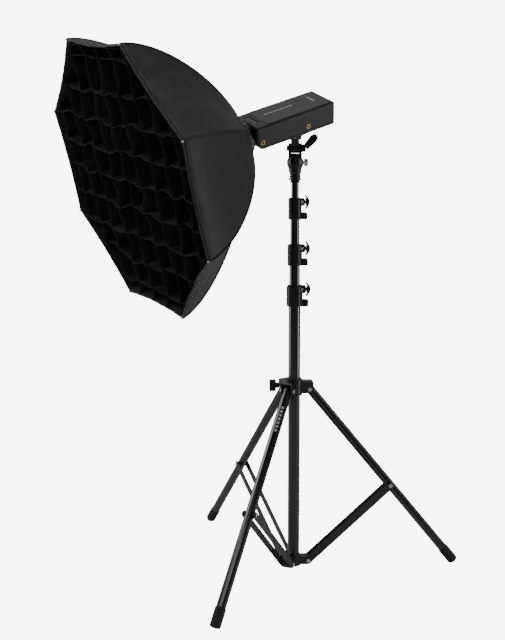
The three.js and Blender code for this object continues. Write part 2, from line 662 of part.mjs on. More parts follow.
controls.forEach(([station, radius, proud, name]) => {
  const shape = alongX(rod(radius, 0, proud + controlDepth)).translate([-flashWidth / 2 - proud, station, 0]);
  piece(flash, name, shape, gripGrey);
});

// ---------- lamp, adaptor and speed ring ----------

// Turned pieces on the lamp axis, with heights measured forward of the column.
const forward = (points, count) => turned(points, count).rotate([90, 0, 0]);
const front = -flashFront + seatGap;
const ringStart = -ringRear;
const ringEnd = -ringFront;
const lipStart = ringEnd + seatGap;
const adaptorShape = forward([[adaptorBore, front], [adaptorRadius, front],
  [adaptorRadius, ringStart - seatGap], [sleeveRadius, ringStart - seatGap],
  [sleeveRadius, lipStart], [lipRadius, lipStart], [lipRadius, lipStart + lipThickness],
  [adaptorBore, lipStart + lipThickness], [adaptorBore, front]], wideSides);
piece(flashAxis, 'adaptor_ring', adaptorShape, ringMetal);

const lampRadius = adaptorBore - 3.5;
const lampEnd = front + 40;
piece(flashAxis, 'lamp_head', forward([[0, front], [lampRadius, front], [lampRadius, lampEnd - 2],
  [lampRadius - 2, lampEnd], [0, lampEnd]], wideSides), blackPlastic);

const domeBase = lampEnd + seatGap;
const domeOuter = [];
const domeInner = [];
for (let step = 0; step <= 4; step += 1) {
  const angle = (step / 4) * Math.PI / 2;
  domeOuter.push([domeRadius * Math.cos(angle), domeBase + domeLength - domeRadius * (1 - Math.sin(angle))]);
  domeInner.push([(domeRadius - domeWall) * Math.cos(angle),
    domeBase + domeLength - domeWall - (domeRadius - domeWall) * (1 - Math.sin(angle))]);
}
const domeProfile = [[domeRadius - domeWall, domeBase], [domeRadius, domeBase], ...domeOuter,
  ...domeInner.reverse(), [domeRadius - domeWall, domeBase]].map(([radius, height]) =>
  [Math.abs(radius) < 1e-6 ? 0 : radius, height]);
piece(flashAxis, 'lamp_glass', forward(domeProfile, wideSides), glass);

const tubeStation = domeBase + 16;
const ringTube = solid(new THREE.TorusGeometry(flashTubeRadius, 2.2, 6, 14)).translate([0, 0, tubeStation]);
const tubeLegs = [flashTubeRadius, -flashTubeRadius].map((x) => rod(2, domeBase + 0.2, tubeStation,
  6).translate([x, 0, 0]));
piece(flashAxis, 'flash_tube', join(ringTube, ...tubeLegs).rotate([90, 0, 0]), glass);

// ---------- softbox ----------

const softbox = group(head, { turn: [0, softboxRoll, 0] });
const corners = 8;
const cornerAngle = (index) => (22.5 + 45 * index) * degrees;
const flatShare = Math.cos(22.5 * degrees);

// The rods' curve: radius at a depth behind the rim.
function curveRadius(depth) {
  const share = Math.min(depth / softboxDepth, 1) ** curveBend;
  return curveHubRadius + (softboxRadius - curveHubRadius) * (1 - share) ** (1 / curveFullness);
}

// Points of the curve moved inward by a distance, as [radius, depth].
function insetCurve(distance, steps, lastDepth) {
  const points = [];
  for (let step = 0; step <= steps; step += 1) {
    const depth = lastDepth * Math.sin((step / steps) * Math.PI / 2);
    const before = Math.max(depth - 0.5, 0);
    const slope = (curveRadius(before + 1) - curveRadius(before));
    const length = Math.hypot(1, slope);
    points.push([curveRadius(depth) - distance / length, depth + (distance * slope) / length]);
  }
  return points;
}

// A closed skin through octagons: each ring is [corner radius, depth behind the rim].
function octagonLoft(rings) {
  const positions = [];
  const faces = [];
  rings.forEach(([radius, depth]) => {
    for (let index = 0; index < corners; index += 1) {
      const angle = cornerAngle(index);
      positions.push(radius * Math.cos(angle), softboxFront + depth, radius * Math.sin(angle));
    }
  });
  rings.forEach((ring, level) => {
    const next = (level + 1) % rings.length;
    for (let index = 0; index < corners; index += 1) {
      const side = (index + 1) % corners;
      const a = level * corners + index;
      const b = level * corners + side;
      const c = next * corners + side;
      const d = next * corners + index;
      faces.push(a, d, c, a, c, b);
    }
  });
  const geometry = new THREE.BufferGeometry();
  geometry.setAttribute('position', new THREE.BufferAttribute(new Float32Array(positions), 3));
  geometry.setIndex(faces);
  return solid(geometry);
}

const shellSteps = 14;
const outside = insetCurve(0, shellSteps, shellRearDepth);
const inside = insetCurve(shellWall / flatShare, shellSteps, shellRearDepth);
inside[0][1] = 0;
piece(softbox, 'softbox_shell', octagonLoft([...outside, ...inside.reverse()]), blackCloth);

const ringDepth = (ringFront + ringRear) / 2 - softboxFront;
const rodEnd = [ringRadius - 4, ringDepth + 1.5];
const rodBend = insetCurve(rodInset, 14, shellRearDepth).filter(([radius]) => radius > ringRadius * 1.5);
const rodLast = rodBend.at(-1);
const rodMiddle = [(rodLast[0] + rodEnd[0]) / 2, (rodLast[1] + rodEnd[1]) / 2];
const rodSlant = Math.atan2(rodLast[1] - rodEnd[1], rodLast[0] - rodEnd[0]);
const rodCurvePoints = [...rodBend, rodMiddle, rodEnd];
rodCurvePoints[0] = [softboxRadius - rodInset, 1.5];
const rodSection = new THREE.Shape();
rodSection.absarc(0, 0, rodRadius, 0, 2 * Math.PI);
for (let index = 0; index < corners; index += 1) {
  const angle = cornerAngle(index);
  const place = ([radius, depth]) =>
    new THREE.Vector3(radius * Math.cos(angle), softboxFront + depth, radius * Math.sin(angle));
  const path = new THREE.CatmullRomCurve3(rodCurvePoints.map(place));
  const geometry = new THREE.ExtrudeGeometry(rodSection,
    { extrudePath: path, steps: 14, curveSegments: 3, bevelEnabled: false });
  piece(softbox, `rod_${index + 1}`, solid(geometry), rodFibre);
}

// The speed ring turns on the adaptor sleeve and holds the rods' inner ends.
const ringBore = sleeveRadius + ringGap;
const ringBody = forward([[ringBore, ringStart], [ringRadius, ringStart], [ringRadius, ringEnd],
  [ringBore, ringEnd], [ringBore, ringStart]], wideSides);
const onCorner = (shape, index) => shape.rotate([0, 0, rodSlant / degrees])
  .translate([rodEnd[0], softboxFront + rodEnd[1], 0]).rotate([0, -cornerAngle(index) / degrees, 0]);
const cornerNumbers = [...Array(corners).keys()];
const rodSockets = cornerNumbers.map((index) =>
  onCorner(alongX(rod(rodSocketRadius, 0, rodSocketLength, smallSides)), index));
const rodHoles = cornerNumbers.map((index) =>
  onCorner(alongX(rod(rodRadius + rodSocketGap, -seatGap, rodSocketLength + 5, 8)), index));
piece(softbox, 'speed_ring', cut(join(ringBody, ...rodSockets), ...rodHoles), ringMetal);

// Sheets and grid: octagons that stay clear of the rods.
const gridBack = gridDepth - gridProud;
const insideRods = (depth) => curveRadius(depth) - rodInset - rodRadius - sheetClearance;
const gridRadius = (depth) => curveRadius(depth) - rodInset - rodRadius - gridClearance;
const diffuserDepth = gridBack + diffuserGap;
const diffuserRadius = insideRods(diffuserDepth);
const baffleRadius = insideRods(baffleDepth) - baffleMargin;

function octagonOutline(radius) {
  const points = [];
  for (let index = 0; index < corners; index += 1) {
    points.push([radius * Math.cos(cornerAngle(index)), radius * Math.sin(cornerAngle(index))]);
  }
  return points;
}

const sheet = (radius, depth, thickness) => raised(polygon(octagonOutline(radius)), 0, thickness)
  .rotate([90, 0, 0]).translate([0, softboxFront + depth + thickness, 0]);
piece(softbox, 'front_diffuser', sheet(diffuserRadius, diffuserDepth, sheetThickness), whiteCloth);
piece(softbox, 'inner_baffle', sheet(baffleRadius, baffleDepth, sheetThickness), whiteCloth);

// An octagonal block that narrows toward the back as the rods do.
function taperedOctagon(inset, past) {
  const wide = gridRadius(0) - inset / flatShare;
  const narrow = gridRadius(gridBack) - inset / flatShare;
  const length = gridDepth + 2 * past;
  const geometry = new THREE.CylinderGeometry(narrow, wide, length, corners, 1, false, cornerAngle(0));
  return solid(geometry).translate([0, softboxFront - gridProud + gridDepth / 2, 0]);
}

const gridBand = cut(taperedOctagon(0, 0), taperedOctagon(gridStrip, 1));
const gridField = taperedOctagon(gridStrip / 2, 0);
const strips = [];
const gridReach = gridRadius(0);
const stripCount = Math.floor((gridReach * flatShare) / gridPitch - 0.2);
for (let index = -stripCount; index <= stripCount; index += 1) {
  const offset = index * gridPitch;
  const middle = softboxFront - gridProud + gridDepth / 2;
  strips.push(block(gridStrip, gridDepth, 2 * gridReach, [offset, middle, 0]));
  strips.push(block(2 * gridReach, gridDepth, gridStrip, [0, middle, offset]));
}
const grid = join(gridBand, join(strips[0], ...strips.slice(1)).intersect(gridField));
piece(softbox, 'grid', grid, gridCloth);

// ---------- centre on the footprint ----------

model.updateMatrixWorld(true);
const box = new THREE.Box3().setFromObject(model, true);
const centred = new THREE.Group();
centred.add(model);
model.position.set(-(box.min.x + box.max.x) / 2, -(box.min.y + box.max.y) / 2, -box.min.z);

export default centred;
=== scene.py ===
import json
import math

import bpy
import numpy as np
from mathutils import Matrix, Vector, noise


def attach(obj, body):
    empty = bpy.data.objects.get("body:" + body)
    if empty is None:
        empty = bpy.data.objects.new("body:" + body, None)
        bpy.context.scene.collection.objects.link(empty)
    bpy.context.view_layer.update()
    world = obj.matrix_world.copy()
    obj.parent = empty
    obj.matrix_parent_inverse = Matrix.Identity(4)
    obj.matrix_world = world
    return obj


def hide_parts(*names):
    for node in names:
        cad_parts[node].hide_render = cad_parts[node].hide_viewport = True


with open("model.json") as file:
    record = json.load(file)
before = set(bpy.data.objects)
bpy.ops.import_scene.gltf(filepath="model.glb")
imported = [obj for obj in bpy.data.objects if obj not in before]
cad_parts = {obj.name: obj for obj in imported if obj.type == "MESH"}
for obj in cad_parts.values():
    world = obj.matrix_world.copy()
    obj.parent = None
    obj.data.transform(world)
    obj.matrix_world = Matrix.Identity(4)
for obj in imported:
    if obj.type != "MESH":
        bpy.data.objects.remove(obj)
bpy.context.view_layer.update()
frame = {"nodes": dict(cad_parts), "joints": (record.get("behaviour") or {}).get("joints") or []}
JOINTS = {joint["name"]: joint for joint in frame["joints"]}

bl_info = {
    "name": "Studio softbox",
    "version": (1, 0, 0),
    "blender": (4, 5, 0),
    "location": "3D View > Sidebar > Softbox",
    "description": "Dresses the softbox, flash head and light stand in cloth, plastic and metal",
    "category": "Object",
}

# ---------- sizes, in metres ----------

CORNERS = 8
CORNER_STEP = math.pi / 4
FIRST_CORNER = math.pi / 8

# The rods' curve: corner radius against depth behind the rim
CURVE_HUB = 0.020
CURVE_RIM = 0.2707
CURVE_DEPTH = 0.2597
CURVE_BEND = 1.47
CURVE_FULLNESS = 1.26
SHELL_DEPTH = 0.2425

PANEL_ACROSS = 40
PANEL_ALONG = 56
CLOTH_THICKNESS = 0.0008
HEM_WIDTH = 0.008
PIPING_RADIUS = 0.0011
TIP_RADIUS = 0.0016
TIP_LENGTH = 0.004

GRID_PITCH = 0.054
GRID_STRIPS = 4
GRID_STEPS = 8
STRIP_THICKNESS = 0.0006

SHEET_STEPS = 14

# Lie of the cloth
GATHER_PITCH = 0.021           # between two gathers along a seam
GATHER_REACH = 0.016           # how far the gathers run in from a seam
LARGE_WRINKLE = 0.055
SMALL_WRINKLE = 0.02
GRID_FREE_EDGE = 0.12          # share of the grid held still beside its band

# Small fittings
BOLT_REACH = 0.014            # clamp bolts from the column's axis
BOLT_SIDE = 0.0074            # and out from the middle of the clamp's boss
LABEL_RADIUS = 0.00965         # just proud of the leg's tube
LABEL_SPREAD = 0.26            # half its width round the leg, in radians
LABEL_ANGLE = 0.466           # round the leg, from the outer side, in radians

# Camera, in the row frame
CAMERA_PLACE = (1.7673, -1.0974, 0.8343)
CAMERA_FORWARD = (-0.8369, 0.5285, -0.1424)
CAMERA_SHIFT = (-0.0150, -0.0023)


# ---------- settings ----------

def colour(name, description, default):
    """A colour that a user can change."""
    return bpy.props.FloatVectorProperty(name=name, description=description, default=default,
                                         min=0.0, max=1.0, size=3, subtype="COLOR")


class SoftboxClothSettings(bpy.types.PropertyGroup):
    """How the cloth of the softbox lies."""
    panel_hollow: bpy.props.FloatProperty(
        name="Panel hollow", description="How far a panel draws in between two rods",
        default=0.0065, min=0.0, max=0.02, unit="LENGTH")
    wrinkle: bpy.props.FloatProperty(
        name="Wrinkle", description="Height of the soft wrinkles on the panels",
        default=0.0011, min=0.0, max=0.005, unit="LENGTH")
    pucker: bpy.props.FloatProperty(
        name="Pucker", description="Height of the small gathers beside the seams",
        default=0.0006, min=0.0, max=0.003, unit="LENGTH")
    grid_slack: bpy.props.FloatProperty(
        name="Grid slack", description="How far the grid strips stray from straight",
        default=0.0075, min=0.0, max=0.012, unit="LENGTH")
    sheet_sag: bpy.props.FloatProperty(
        name="Sheet sag", description="How far the diffuser and baffle hang slack",
        default=0.003, min=0.0, max=0.01, unit="LENGTH")
    shell_color: colour("Shell", "Colour of the outer panels", (0.0055, 0.0074, 0.0070))
    trim_color: colour("Trim", "Colour of the seams", (0.0022, 0.0027, 0.0027))
    hem_color: colour("Hem", "Colour of the band round the rim", (0.0035, 0.0045, 0.0043))
    grid_color: colour("Grid", "Colour of the grid's strips", (0.0013, 0.0018, 0.0018))
    lining_color: colour("Lining", "Colour inside the shell", (0.55, 0.55, 0.53))
    sheet_color: colour("Sheets", "Colour of the diffuser and baffle", (0.8, 0.8, 0.78))


class SoftboxFinishSettings(bpy.types.PropertyGroup):
    """Finish of the hard pieces."""
    edge: bpy.props.FloatProperty(
        name="Edge round", description="Radius that takes the sharpness off moulded edges",
        default=0.0005, min=0.0001, max=0.002, unit="LENGTH")
    rivet: bpy.props.FloatProperty(
        name="Rivet radius", description="Radius of the rivet and screw heads",
        default=0.0042, min=0.002, max=0.006, unit="LENGTH")
    tube_color: colour("Tubes", "Colour of the stand's tubes", (0.004, 0.004, 0.0045))
    plastic_color: colour("Plastic", "Colour of clamps, knobs and tilt head", (0.0055, 0.0055, 0.006))
    casting_color: colour("Castings", "Colour of the collar, hub and braces", (0.010, 0.010, 0.011))
    cover_color: colour("Cover", "Colour of the flash's top cover", (0.036, 0.039, 0.043))
    casing_color: colour("Casing", "Colour of the flash's casing", (0.0050, 0.0050, 0.0055))
    grip_color: colour("Controls", "Colour of buttons and dial", (0.13, 0.135, 0.14))
    ring_color: colour("Ring", "Colour of the speed ring", (0.12, 0.125, 0.13))
    adaptor_color: colour("Adaptor", "Colour of the adaptor", (0.05, 0.052, 0.055))
    brass_color: colour("Brass", "Colour of the threaded inserts", (0.52, 0.33, 0.12))
    print_color: colour("Print", "Colour of printed marks", (0.50, 0.51, 0.52))


class SoftboxStageSettings(bpy.types.PropertyGroup):
    """Camera, light and floor."""
    lens: bpy.props.FloatProperty(
        name="Lens", description="Focal length in millimetres", default=57.65, min=20, max=200,
        unit="CAMERA")
    key_power: bpy.props.FloatProperty(
        name="Key light", description="Power of the large light in front", default=15.0, min=0,
        unit="POWER")
    side_power: bpy.props.FloatProperty(
        name="Side lights", description="Power of the two tall lights at the sides", default=13.0,
        min=0, unit="POWER")
    world_level: bpy.props.FloatProperty(
        name="Surroundings", description="Brightness of the pale surroundings", default=0.14,
        min=0, max=5, subtype="FACTOR")
    backdrop_level: bpy.props.FloatProperty(
        name="Backdrop", description="How bright the floor and backdrop look to the camera",
        default=9.0, min=0, max=30, subtype="FACTOR")


# ---------- frames of reference ----------

class Axes:
    """An origin with three unit axes, in the row frame."""

    def __init__(self, origin, x, y, z):
        self.origin = Vector(origin)
        self.x = Vector(x).normalized()
        self.y = Vector(y).normalized()
        self.z = Vector(z).normalized()

    def at(self, x, y, z):
        return self.origin + self.x * x + self.y * y + self.z * z

    def span(self, node):
        """Lowest and highest coordinate of a node along each axis."""
        points = [point - self.origin for point in node_points(node)]
        rows = [[point.dot(axis) for point in points] for axis in (self.x, self.y, self.z)]
        return [min(row) for row in rows], [max(row) for row in rows]


def node_points(node):
    return [vertex.co.copy() for vertex in frame["nodes"][node].data.vertices]


def softbox_axes():
    """Origin in the middle of the rim; y runs back, x and z lie in the rim's plane."""
    spin = JOINTS["softbox_turn"]
    back = Vector(spin["axis"]).normalized()
    hub = Vector(spin["pos_m"])

    def corner(number):
        tip = min(node_points(f"rod_{number}"), key=lambda point: back.dot(point - hub))
        offset = tip - hub
        return (offset - back * back.dot(offset)).normalized()

    rim = min(back.dot(point - hub) for point in node_points("softbox_shell"))
    return Axes(hub + back * rim, corner(1) + corner(8), back, corner(2) + corner(3))


def flash_axes():
    """Origin in the middle of the casing; y runs back along it and z out of its top."""
    across = Vector(JOINTS["dial_turn"]["axis"])
    back = Vector(JOINTS["battery_slide"]["axis"])
    up = Vector(JOINTS["flash_turn"]["axis"])
    axes = Axes(JOINTS["dial_turn"]["pos_m"], across, back, up)
    low, high = axes.span("flash_casing")
    middle = [(a + b) / 2 for a, b in zip(low, high)]
    return Axes(axes.at(*middle), across, back, up)


def leg_axes(number):
    """Origin at the leg's pivot; z runs up the leg and y along the pivot."""
    joint = JOINTS[f"leg_fold_{number}"]
    pivot = Vector(joint["pos_m"])
    across = Vector(joint["axis"])
    foot = min(node_points(f"leg_tube_{number}"), key=lambda point: point.z)
    down = foot - pivot
    flat = down - across * across.dot(down)
    middle = tube_line(f"leg_tube_{number}", pivot, flat.normalized(), across)
    up = -middle
    return Axes(pivot, across.cross(up), across, up)


class Taper:
    """An octagonal block of the frame: corner radius and depth at its front and back."""

    def __init__(self, axes, node):
        points = [point - axes.origin for point in node_points(node)]
        depths = [axes.y.dot(point) for point in points]
        self.front, self.back = min(depths), max(depths)
        middle = (self.front + self.back) / 2
        self.wide, self.narrow = (
            max(abs(axes.x.dot(point)) for point, depth in zip(points, depths)
                if (depth < middle) == ahead) / math.cos(FIRST_CORNER)
            for ahead in (True, False))

    def share(self, depth):
        return (depth - self.front) / (self.back - self.front)

    def radius(self, depth):
        return self.wide + (self.narrow - self.wide) * self.share(depth)


def tube_line(node, start, rough, across):
    """Direction from start along a tube, from the middle of its far end."""
    points = node_points(node)
    far = max(rough.dot(point - start) for point in points)
    ends = [point for point in points if rough.dot(point - start) > far - 0.02]
    centre = sum(ends, Vector()) / len(ends)
    line = centre - start
    return (line - across * across.dot(line)).normalized()


# ---------- meshes ----------

def new_piece(name, vertices, faces, material, smooth=True):
    mesh = bpy.data.meshes.new(name)
    mesh.from_pydata([tuple(vertex) for vertex in vertices], [], faces)
    mesh.validate()
    mesh.polygons.foreach_set("use_smooth", [smooth] * len(mesh.polygons))
    for each in material if isinstance(material, (list, tuple)) else [material]:
        mesh.materials.append(each)
    piece = bpy.data.objects.new(name, mesh)
    bpy.context.scene.collection.objects.link(piece)
    return piece


def joined(parts):
    """One list of vertices and faces from several (vertices, faces)."""
    vertices, faces = [], []
    for some, links in parts:
        start = len(vertices)
        vertices.extend(some)
        faces.extend([[start + index for index in link] for link in links])
    return vertices, faces


def sweep(points, radius, sides=8):
    """A capped round bar through a line of points."""
    points = [Vector(point) for point in points]
    vertices, faces = [], []
    side = None
    for index, point in enumerate(points):
        before = points[max(index - 1, 0)]
        after = points[min(index + 1, len(points) - 1)]
        along = (after - before).normalized()
        if side is None:
            side = along.orthogonal().normalized()
        side = (side - along * along.dot(side)).normalized()
        other = along.cross(side)
        for step in range(sides):
            angle = 2 * math.pi * step / sides
            vertices.append(point + (side * math.cos(angle) + other * math.sin(angle)) * radius)
    for ring in range(len(points) - 1):
        for step in range(sides):
            a = ring * sides + step
            b = ring * sides + (step + 1) % sides
            faces.append([a, b, b + sides, a + sides])
    faces.append(list(range(sides))[::-1])
    faces.append([(len(points) - 1) * sides + step for step in range(sides)])
    return vertices, faces


def lathe(axes, profile, sides=32):
    """A closed solid of revolution about the axes' z from [radius, height] points."""
    vertices, faces = [], []
    for radius, height in profile:
        for step in range(sides):
            angle = 2 * math.pi * step / sides
            vertices.append(axes.at(radius * math.cos(angle), radius * math.sin(angle), height))
    for ring in range(len(profile) - 1):
        for step in range(sides):
            a = ring * sides + step
            b = ring * sides + (step + 1) % sides
            faces.append([a, b, b + sides, a + sides])
    faces.append(list(range(sides))[::-1])
    faces.append([(len(profile) - 1) * sides + step for step in range(sides)])
    return vertices, faces


def slab(axes, centre, size):
    """A box on the axes."""
    x, y, z = (value / 2 for value in size)
    corners = [(-x, -y, -z), (x, -y, -z), (x, y, -z), (-x, y, -z),
               (-x, -y, z), (x, -y, z), (x, y, z), (-x, y, z)]
    vertices = [axes.at(*(a + b for a, b in zip(centre, corner))) for corner in corners]
    faces = [[3, 2, 1, 0], [4, 5, 6, 7], [0, 1, 5, 4], [1, 2, 6, 5], [2, 3, 7, 6], [3, 0, 4, 7]]
    return vertices, faces


def net(columns, rows):
    """Faces of a grid of vertices laid row by row."""
    faces = []
    for row in range(rows - 1):
        for column in range(columns - 1):
            a = row * columns + column
            faces.append([a, a + 1, a + 1 + columns, a + columns])
    return faces


def soften(piece, width):
    """Takes the sharpness off the edges of a piece."""
    weld = piece.modifiers.new("Weld", "WELD")
    weld.merge_threshold = 1e-6
    bevel = piece.modifiers.new("Bevel", "BEVEL")
    bevel.width = width
    bevel.segments = 2
    bevel.limit_method = "ANGLE"
    bevel.angle_limit = math.radians(40)
    bevel.harden_normals = True


def thicken(piece, thickness):
    solid = piece.modifiers.new("Thickness", "SOLIDIFY")
    solid.thickness = thickness
    solid.offset = -1
    return solid


# ---------- materials ----------

def effect_group(name, inputs, outputs):
    """An empty node group with its sockets, and its input and output nodes."""
    group = bpy.data.node_groups.new(name, "ShaderNodeTree")
    for side, sockets in (("INPUT", inputs), ("OUTPUT", outputs)):
        for socket in sockets:
            kind = "NodeSocketVector" if socket == "Normal" else "NodeSocketFloat"
            group.interface.new_socket(socket, in_out=side, socket_type=kind)
    return group, group.nodes.new("NodeGroupInput"), group.nodes.new("NodeGroupOutput")


def add_node(tree, kind, values=None, operation=None):
    """A shader node with some of its inputs set."""
    node = tree.nodes.new(f"ShaderNode{kind}")
    if operation:
        node.operation = operation
    for socket, value in (values or {}).items():
        node.inputs[socket].default_value = value
    return node


def wire(tree, *pairs):
    """Joins outputs to inputs, each given as a node and a socket."""
    for start, output, end, entry in pairs:
        tree.links.new(start.outputs[output], end.inputs[entry])


def tint_range(tree, low, high, darkest):
    """Turns noise between low and high into a tint between darkest and 1.15."""
    return add_node(tree, "MapRange", {"From Min": low, "From Max": high, "To Min": darkest,
                                       "To Max": 1.15})


def cloth_weave_group():
    """Woven cloth: a tint and a normal that vary over the surface."""
    name = "Cloth weave"
    if name in bpy.data.node_groups:
        return bpy.data.node_groups[name]
    group, given, result = effect_group(name, ("Weave scale", "Depth"), ("Tint", "Normal"))
    place = add_node(group, "TexCoord")
    weave = add_node(group, "TexNoise", {"Detail": 2})
    patches = add_node(group, "TexNoise", {"Scale": 14, "Detail": 4})
    tint = tint_range(group, 0.3, 0.7, 0.82)
    both = add_node(group, "Math", operation="ADD")
    bump = add_node(group, "Bump", {"Distance": 0.0006})
    wire(group, (place, "Object", weave, "Vector"), (place, "Object", patches, "Vector"),
         (given, "Weave scale", weave, "Scale"), (patches, "Fac", tint, "Value"),
         (weave, "Fac", both, 0), (patches, "Fac", both, 1), (both, 0, bump, "Height"),
         (given, "Depth", bump, "Strength"), (tint, "Result", result, "Tint"),
         (bump, "Normal", result, "Normal"))
    return group


def handling_group():
    """Moulding grain and handling: roughness, a tint and a normal that vary over the surface."""
    name = "Grain and handling"
    if name in bpy.data.node_groups:
        return bpy.data.node_groups[name]
    group, given, result = effect_group(name, ("Roughness", "Spread", "Grain scale", "Grain depth"),
                                        ("Roughness", "Tint", "Normal"))
    place = add_node(group, "TexCoord")
    smears = add_node(group, "TexNoise", {"Scale": 38, "Detail": 5})
    grain = add_node(group, "TexNoise", {"Detail": 3})
    centred = add_node(group, "Math", {1: 0.5}, "SUBTRACT")
    swing = add_node(group, "Math", operation="MULTIPLY")
    total = add_node(group, "Math", operation="ADD")
    total.use_clamp = True
    tint = tint_range(group, 0.25, 0.75, 0.85)
    bump = add_node(group, "Bump", {"Distance": 0.0002})
    wire(group, (place, "Object", smears, "Vector"), (place, "Object", grain, "Vector"),
         (given, "Grain scale", grain, "Scale"), (smears, "Fac", centred, 0),
         (centred, 0, swing, 0), (given, "Spread", swing, 1), (swing, 0, total, 0),
         (given, "Roughness", total, 1), (smears, "Fac", tint, "Value"),
         (grain, "Fac", bump, "Height"), (given, "Grain depth", bump, "Strength"),
         (total, 0, result, "Roughness"), (tint, "Result", result, "Tint"),
         (bump, "Normal", result, "Normal"))
    return group


def begin_material(name):
    material = bpy.data.materials.new(name)
    material.use_nodes = True
    tree = material.node_tree
    return material, tree, tree.nodes["Principled BSDF"]


def tinted(tree, tint, color):
    """A colour multiplied by a tint value."""
    mix = tree.nodes.new("ShaderNodeVectorMath")
    mix.operation = "SCALE"
    mix.inputs[0].default_value = color
    tree.links.new(tint, mix.inputs["Scale"])
    return mix.outputs[0]


def cloth(name, color, roughness, sheen, scale, depth):
    if name in bpy.data.materials:
        return bpy.data.materials[name]
    material, tree, shader = begin_material(name)
    weave = tree.nodes.new("ShaderNodeGroup")
    weave.node_tree = cloth_weave_group()
    weave.inputs["Weave scale"].default_value = scale
    weave.inputs["Depth"].default_value = depth
    tree.links.new(tinted(tree, weave.outputs["Tint"], color), shader.inputs["Base Color"])
    tree.links.new(weave.outputs["Normal"], shader.inputs["Normal"])
    shader.inputs["Roughness"].default_value = roughness
    shader.inputs["Sheen Weight"].default_value = sheen
    shader.inputs["Sheen Roughness"].default_value = 0.4
    return material


def hard(name, color, roughness, metallic=0.0, spread=0.15, grain=900.0, depth=0.15, coat=0.0):
    if name in bpy.data.materials:
        return bpy.data.materials[name]
    material, tree, shader = begin_material(name)
    marks = tree.nodes.new("ShaderNodeGroup")
    marks.node_tree = handling_group()
    marks.inputs["Roughness"].default_value = roughness
    marks.inputs["Spread"].default_value = spread
    marks.inputs["Grain scale"].default_value = grain
    marks.inputs["Grain depth"].default_value = depth
    tree.links.new(tinted(tree, marks.outputs["Tint"], color), shader.inputs["Base Color"])
    tree.links.new(marks.outputs["Roughness"], shader.inputs["Roughness"])
    tree.links.new(marks.outputs["Normal"], shader.inputs["Normal"])
    shader.inputs["Metallic"].default_value = metallic
    shader.inputs["Coat Weight"].default_value = coat
    shader.inputs["Coat Roughness"].default_value = 0.12
    return material


def cloth_settings():
    return bpy.context.scene.softbox_cloth


def finish_settings():
    return bpy.context.scene.softbox_finish


def shell_cloth():
    return cloth("Panel nylon", cloth_settings().shell_color, 0.5, 0.05, 1500, 0.25)


def lining():
    return cloth("Silver lining", cloth_settings().lining_color, 0.35, 0.0, 700, 0.5)


def piping_cloth():
    return cloth("Seam piping", cloth_settings().trim_color, 0.6, 0.05, 2500, 0.4)


def hem_cloth():
    return cloth("Rim hem", cloth_settings().hem_color, 0.55, 0.2, 2200, 0.4)


def grid_cloth():
    return cloth("Grid cloth", cloth_settings().grid_color, 0.9, 0.0, 1800, 0.5)


def white_cloth():
    return cloth("Diffusion cloth", cloth_settings().sheet_color, 0.9, 0.1, 2000, 0.3)


def tube_finish():
    return hard("Gloss black tube", finish_settings().tube_color, 0.16, 0.0, 0.08, 1400, 0.04, 0.6)


def plastic_finish():
    return hard("Black plastic", finish_settings().plastic_color, 0.36, 0.0, 0.2, 1100, 0.2)


def casting_finish():
    return hard("Black casting", finish_settings().casting_color, 0.3, 0.0, 0.2, 700, 0.25, 0.3)


# Dark rubber of the feet; the same finish also paints the shade inside the casing's vent slots.
def rubber_and_vent_shade_finish():
    return hard("Foot rubber", (0.008, 0.008, 0.008), 0.7, 0.0, 0.15, 900, 0.4)


def steel_finish():
    return hard("Bright steel", (0.62, 0.62, 0.6), 0.25, 1.0, 0.15, 1600, 0.08)


def brass_finish():
    return hard("Brass", finish_settings().brass_color, 0.28, 1.0, 0.15, 1600, 0.08)


def cover_finish():
    return hard("Satin grey cover", finish_settings().cover_color, 0.42, 0.0, 0.1, 2600, 0.18)


def casing_finish():
    return hard("Casing black", finish_settings().casing_color, 0.38, 0.0, 0.1, 2200, 0.2)


def grip_finish():
    return hard("Control grey", finish_settings().grip_color, 0.45, 0.0, 0.15, 1500, 0.2)


def ring_finish():
    return hard("Ring alloy", finish_settings().ring_color, 0.38, 1.0, 0.15, 1300, 0.12)


def adaptor_finish():
    return hard("Adaptor alloy", finish_settings().adaptor_color, 0.42, 1.0, 0.15, 1300, 0.12)


def rod_finish():
    return hard("Rod fibre", (0.75, 0.75, 0.72), 0.4, 0.0, 0.1, 2500, 0.1)


def print_finish():
    return hard("Pale print", finish_settings().print_color, 0.5, 0.0, 0.1, 2500, 0.05)


def glass_finish():
    name = "Lamp glass"
    if name in bpy.data.materials:
        return bpy.data.materials[name]
    material = hard(name, (0.95, 0.93, 0.88), 0.12, 0.0, 0.1, 500, 0.05)
    shader = material.node_tree.nodes["Principled BSDF"]
    shader.inputs["Transmission Weight"].default_value = 0.9
    shader.inputs["IOR"].default_value = 1.45
    return material


def floor_finish():
    name = "Pale floor"
    if name in bpy.data.materials:
        return bpy.data.materials[name]
    material, tree, shader = begin_material(name)
    path = tree.nodes.new("ShaderNodeLightPath")
    flat = tree.nodes.new("ShaderNodeEmission")
    flat.inputs["Color"].default_value = (1, 1, 1, 1)
    flat.inputs["Strength"].default_value = bpy.context.scene.softbox_stage.backdrop_level
    mix = tree.nodes.new("ShaderNodeMixShader")
    shader.inputs["Base Color"].default_value = (0.86, 0.86, 0.86, 1)
    shader.inputs["Roughness"].default_value = 0.6
    scale = tree.nodes.new("ShaderNodeMath")
    scale.operation = "MULTIPLY"
    scale.inputs[1].default_value = 0.85
    tree.links.new(path.outputs["Is Camera Ray"], scale.inputs[0])
    tree.links.new(scale.outputs[0], mix.inputs["Fac"])
    tree.links.new(shader.outputs[0], mix.inputs[1])
    tree.links.new(flat.outputs[0], mix.inputs[2])
    tree.links.new(mix.outputs[0], tree.nodes["Material Output"].inputs["Surface"])
    return material


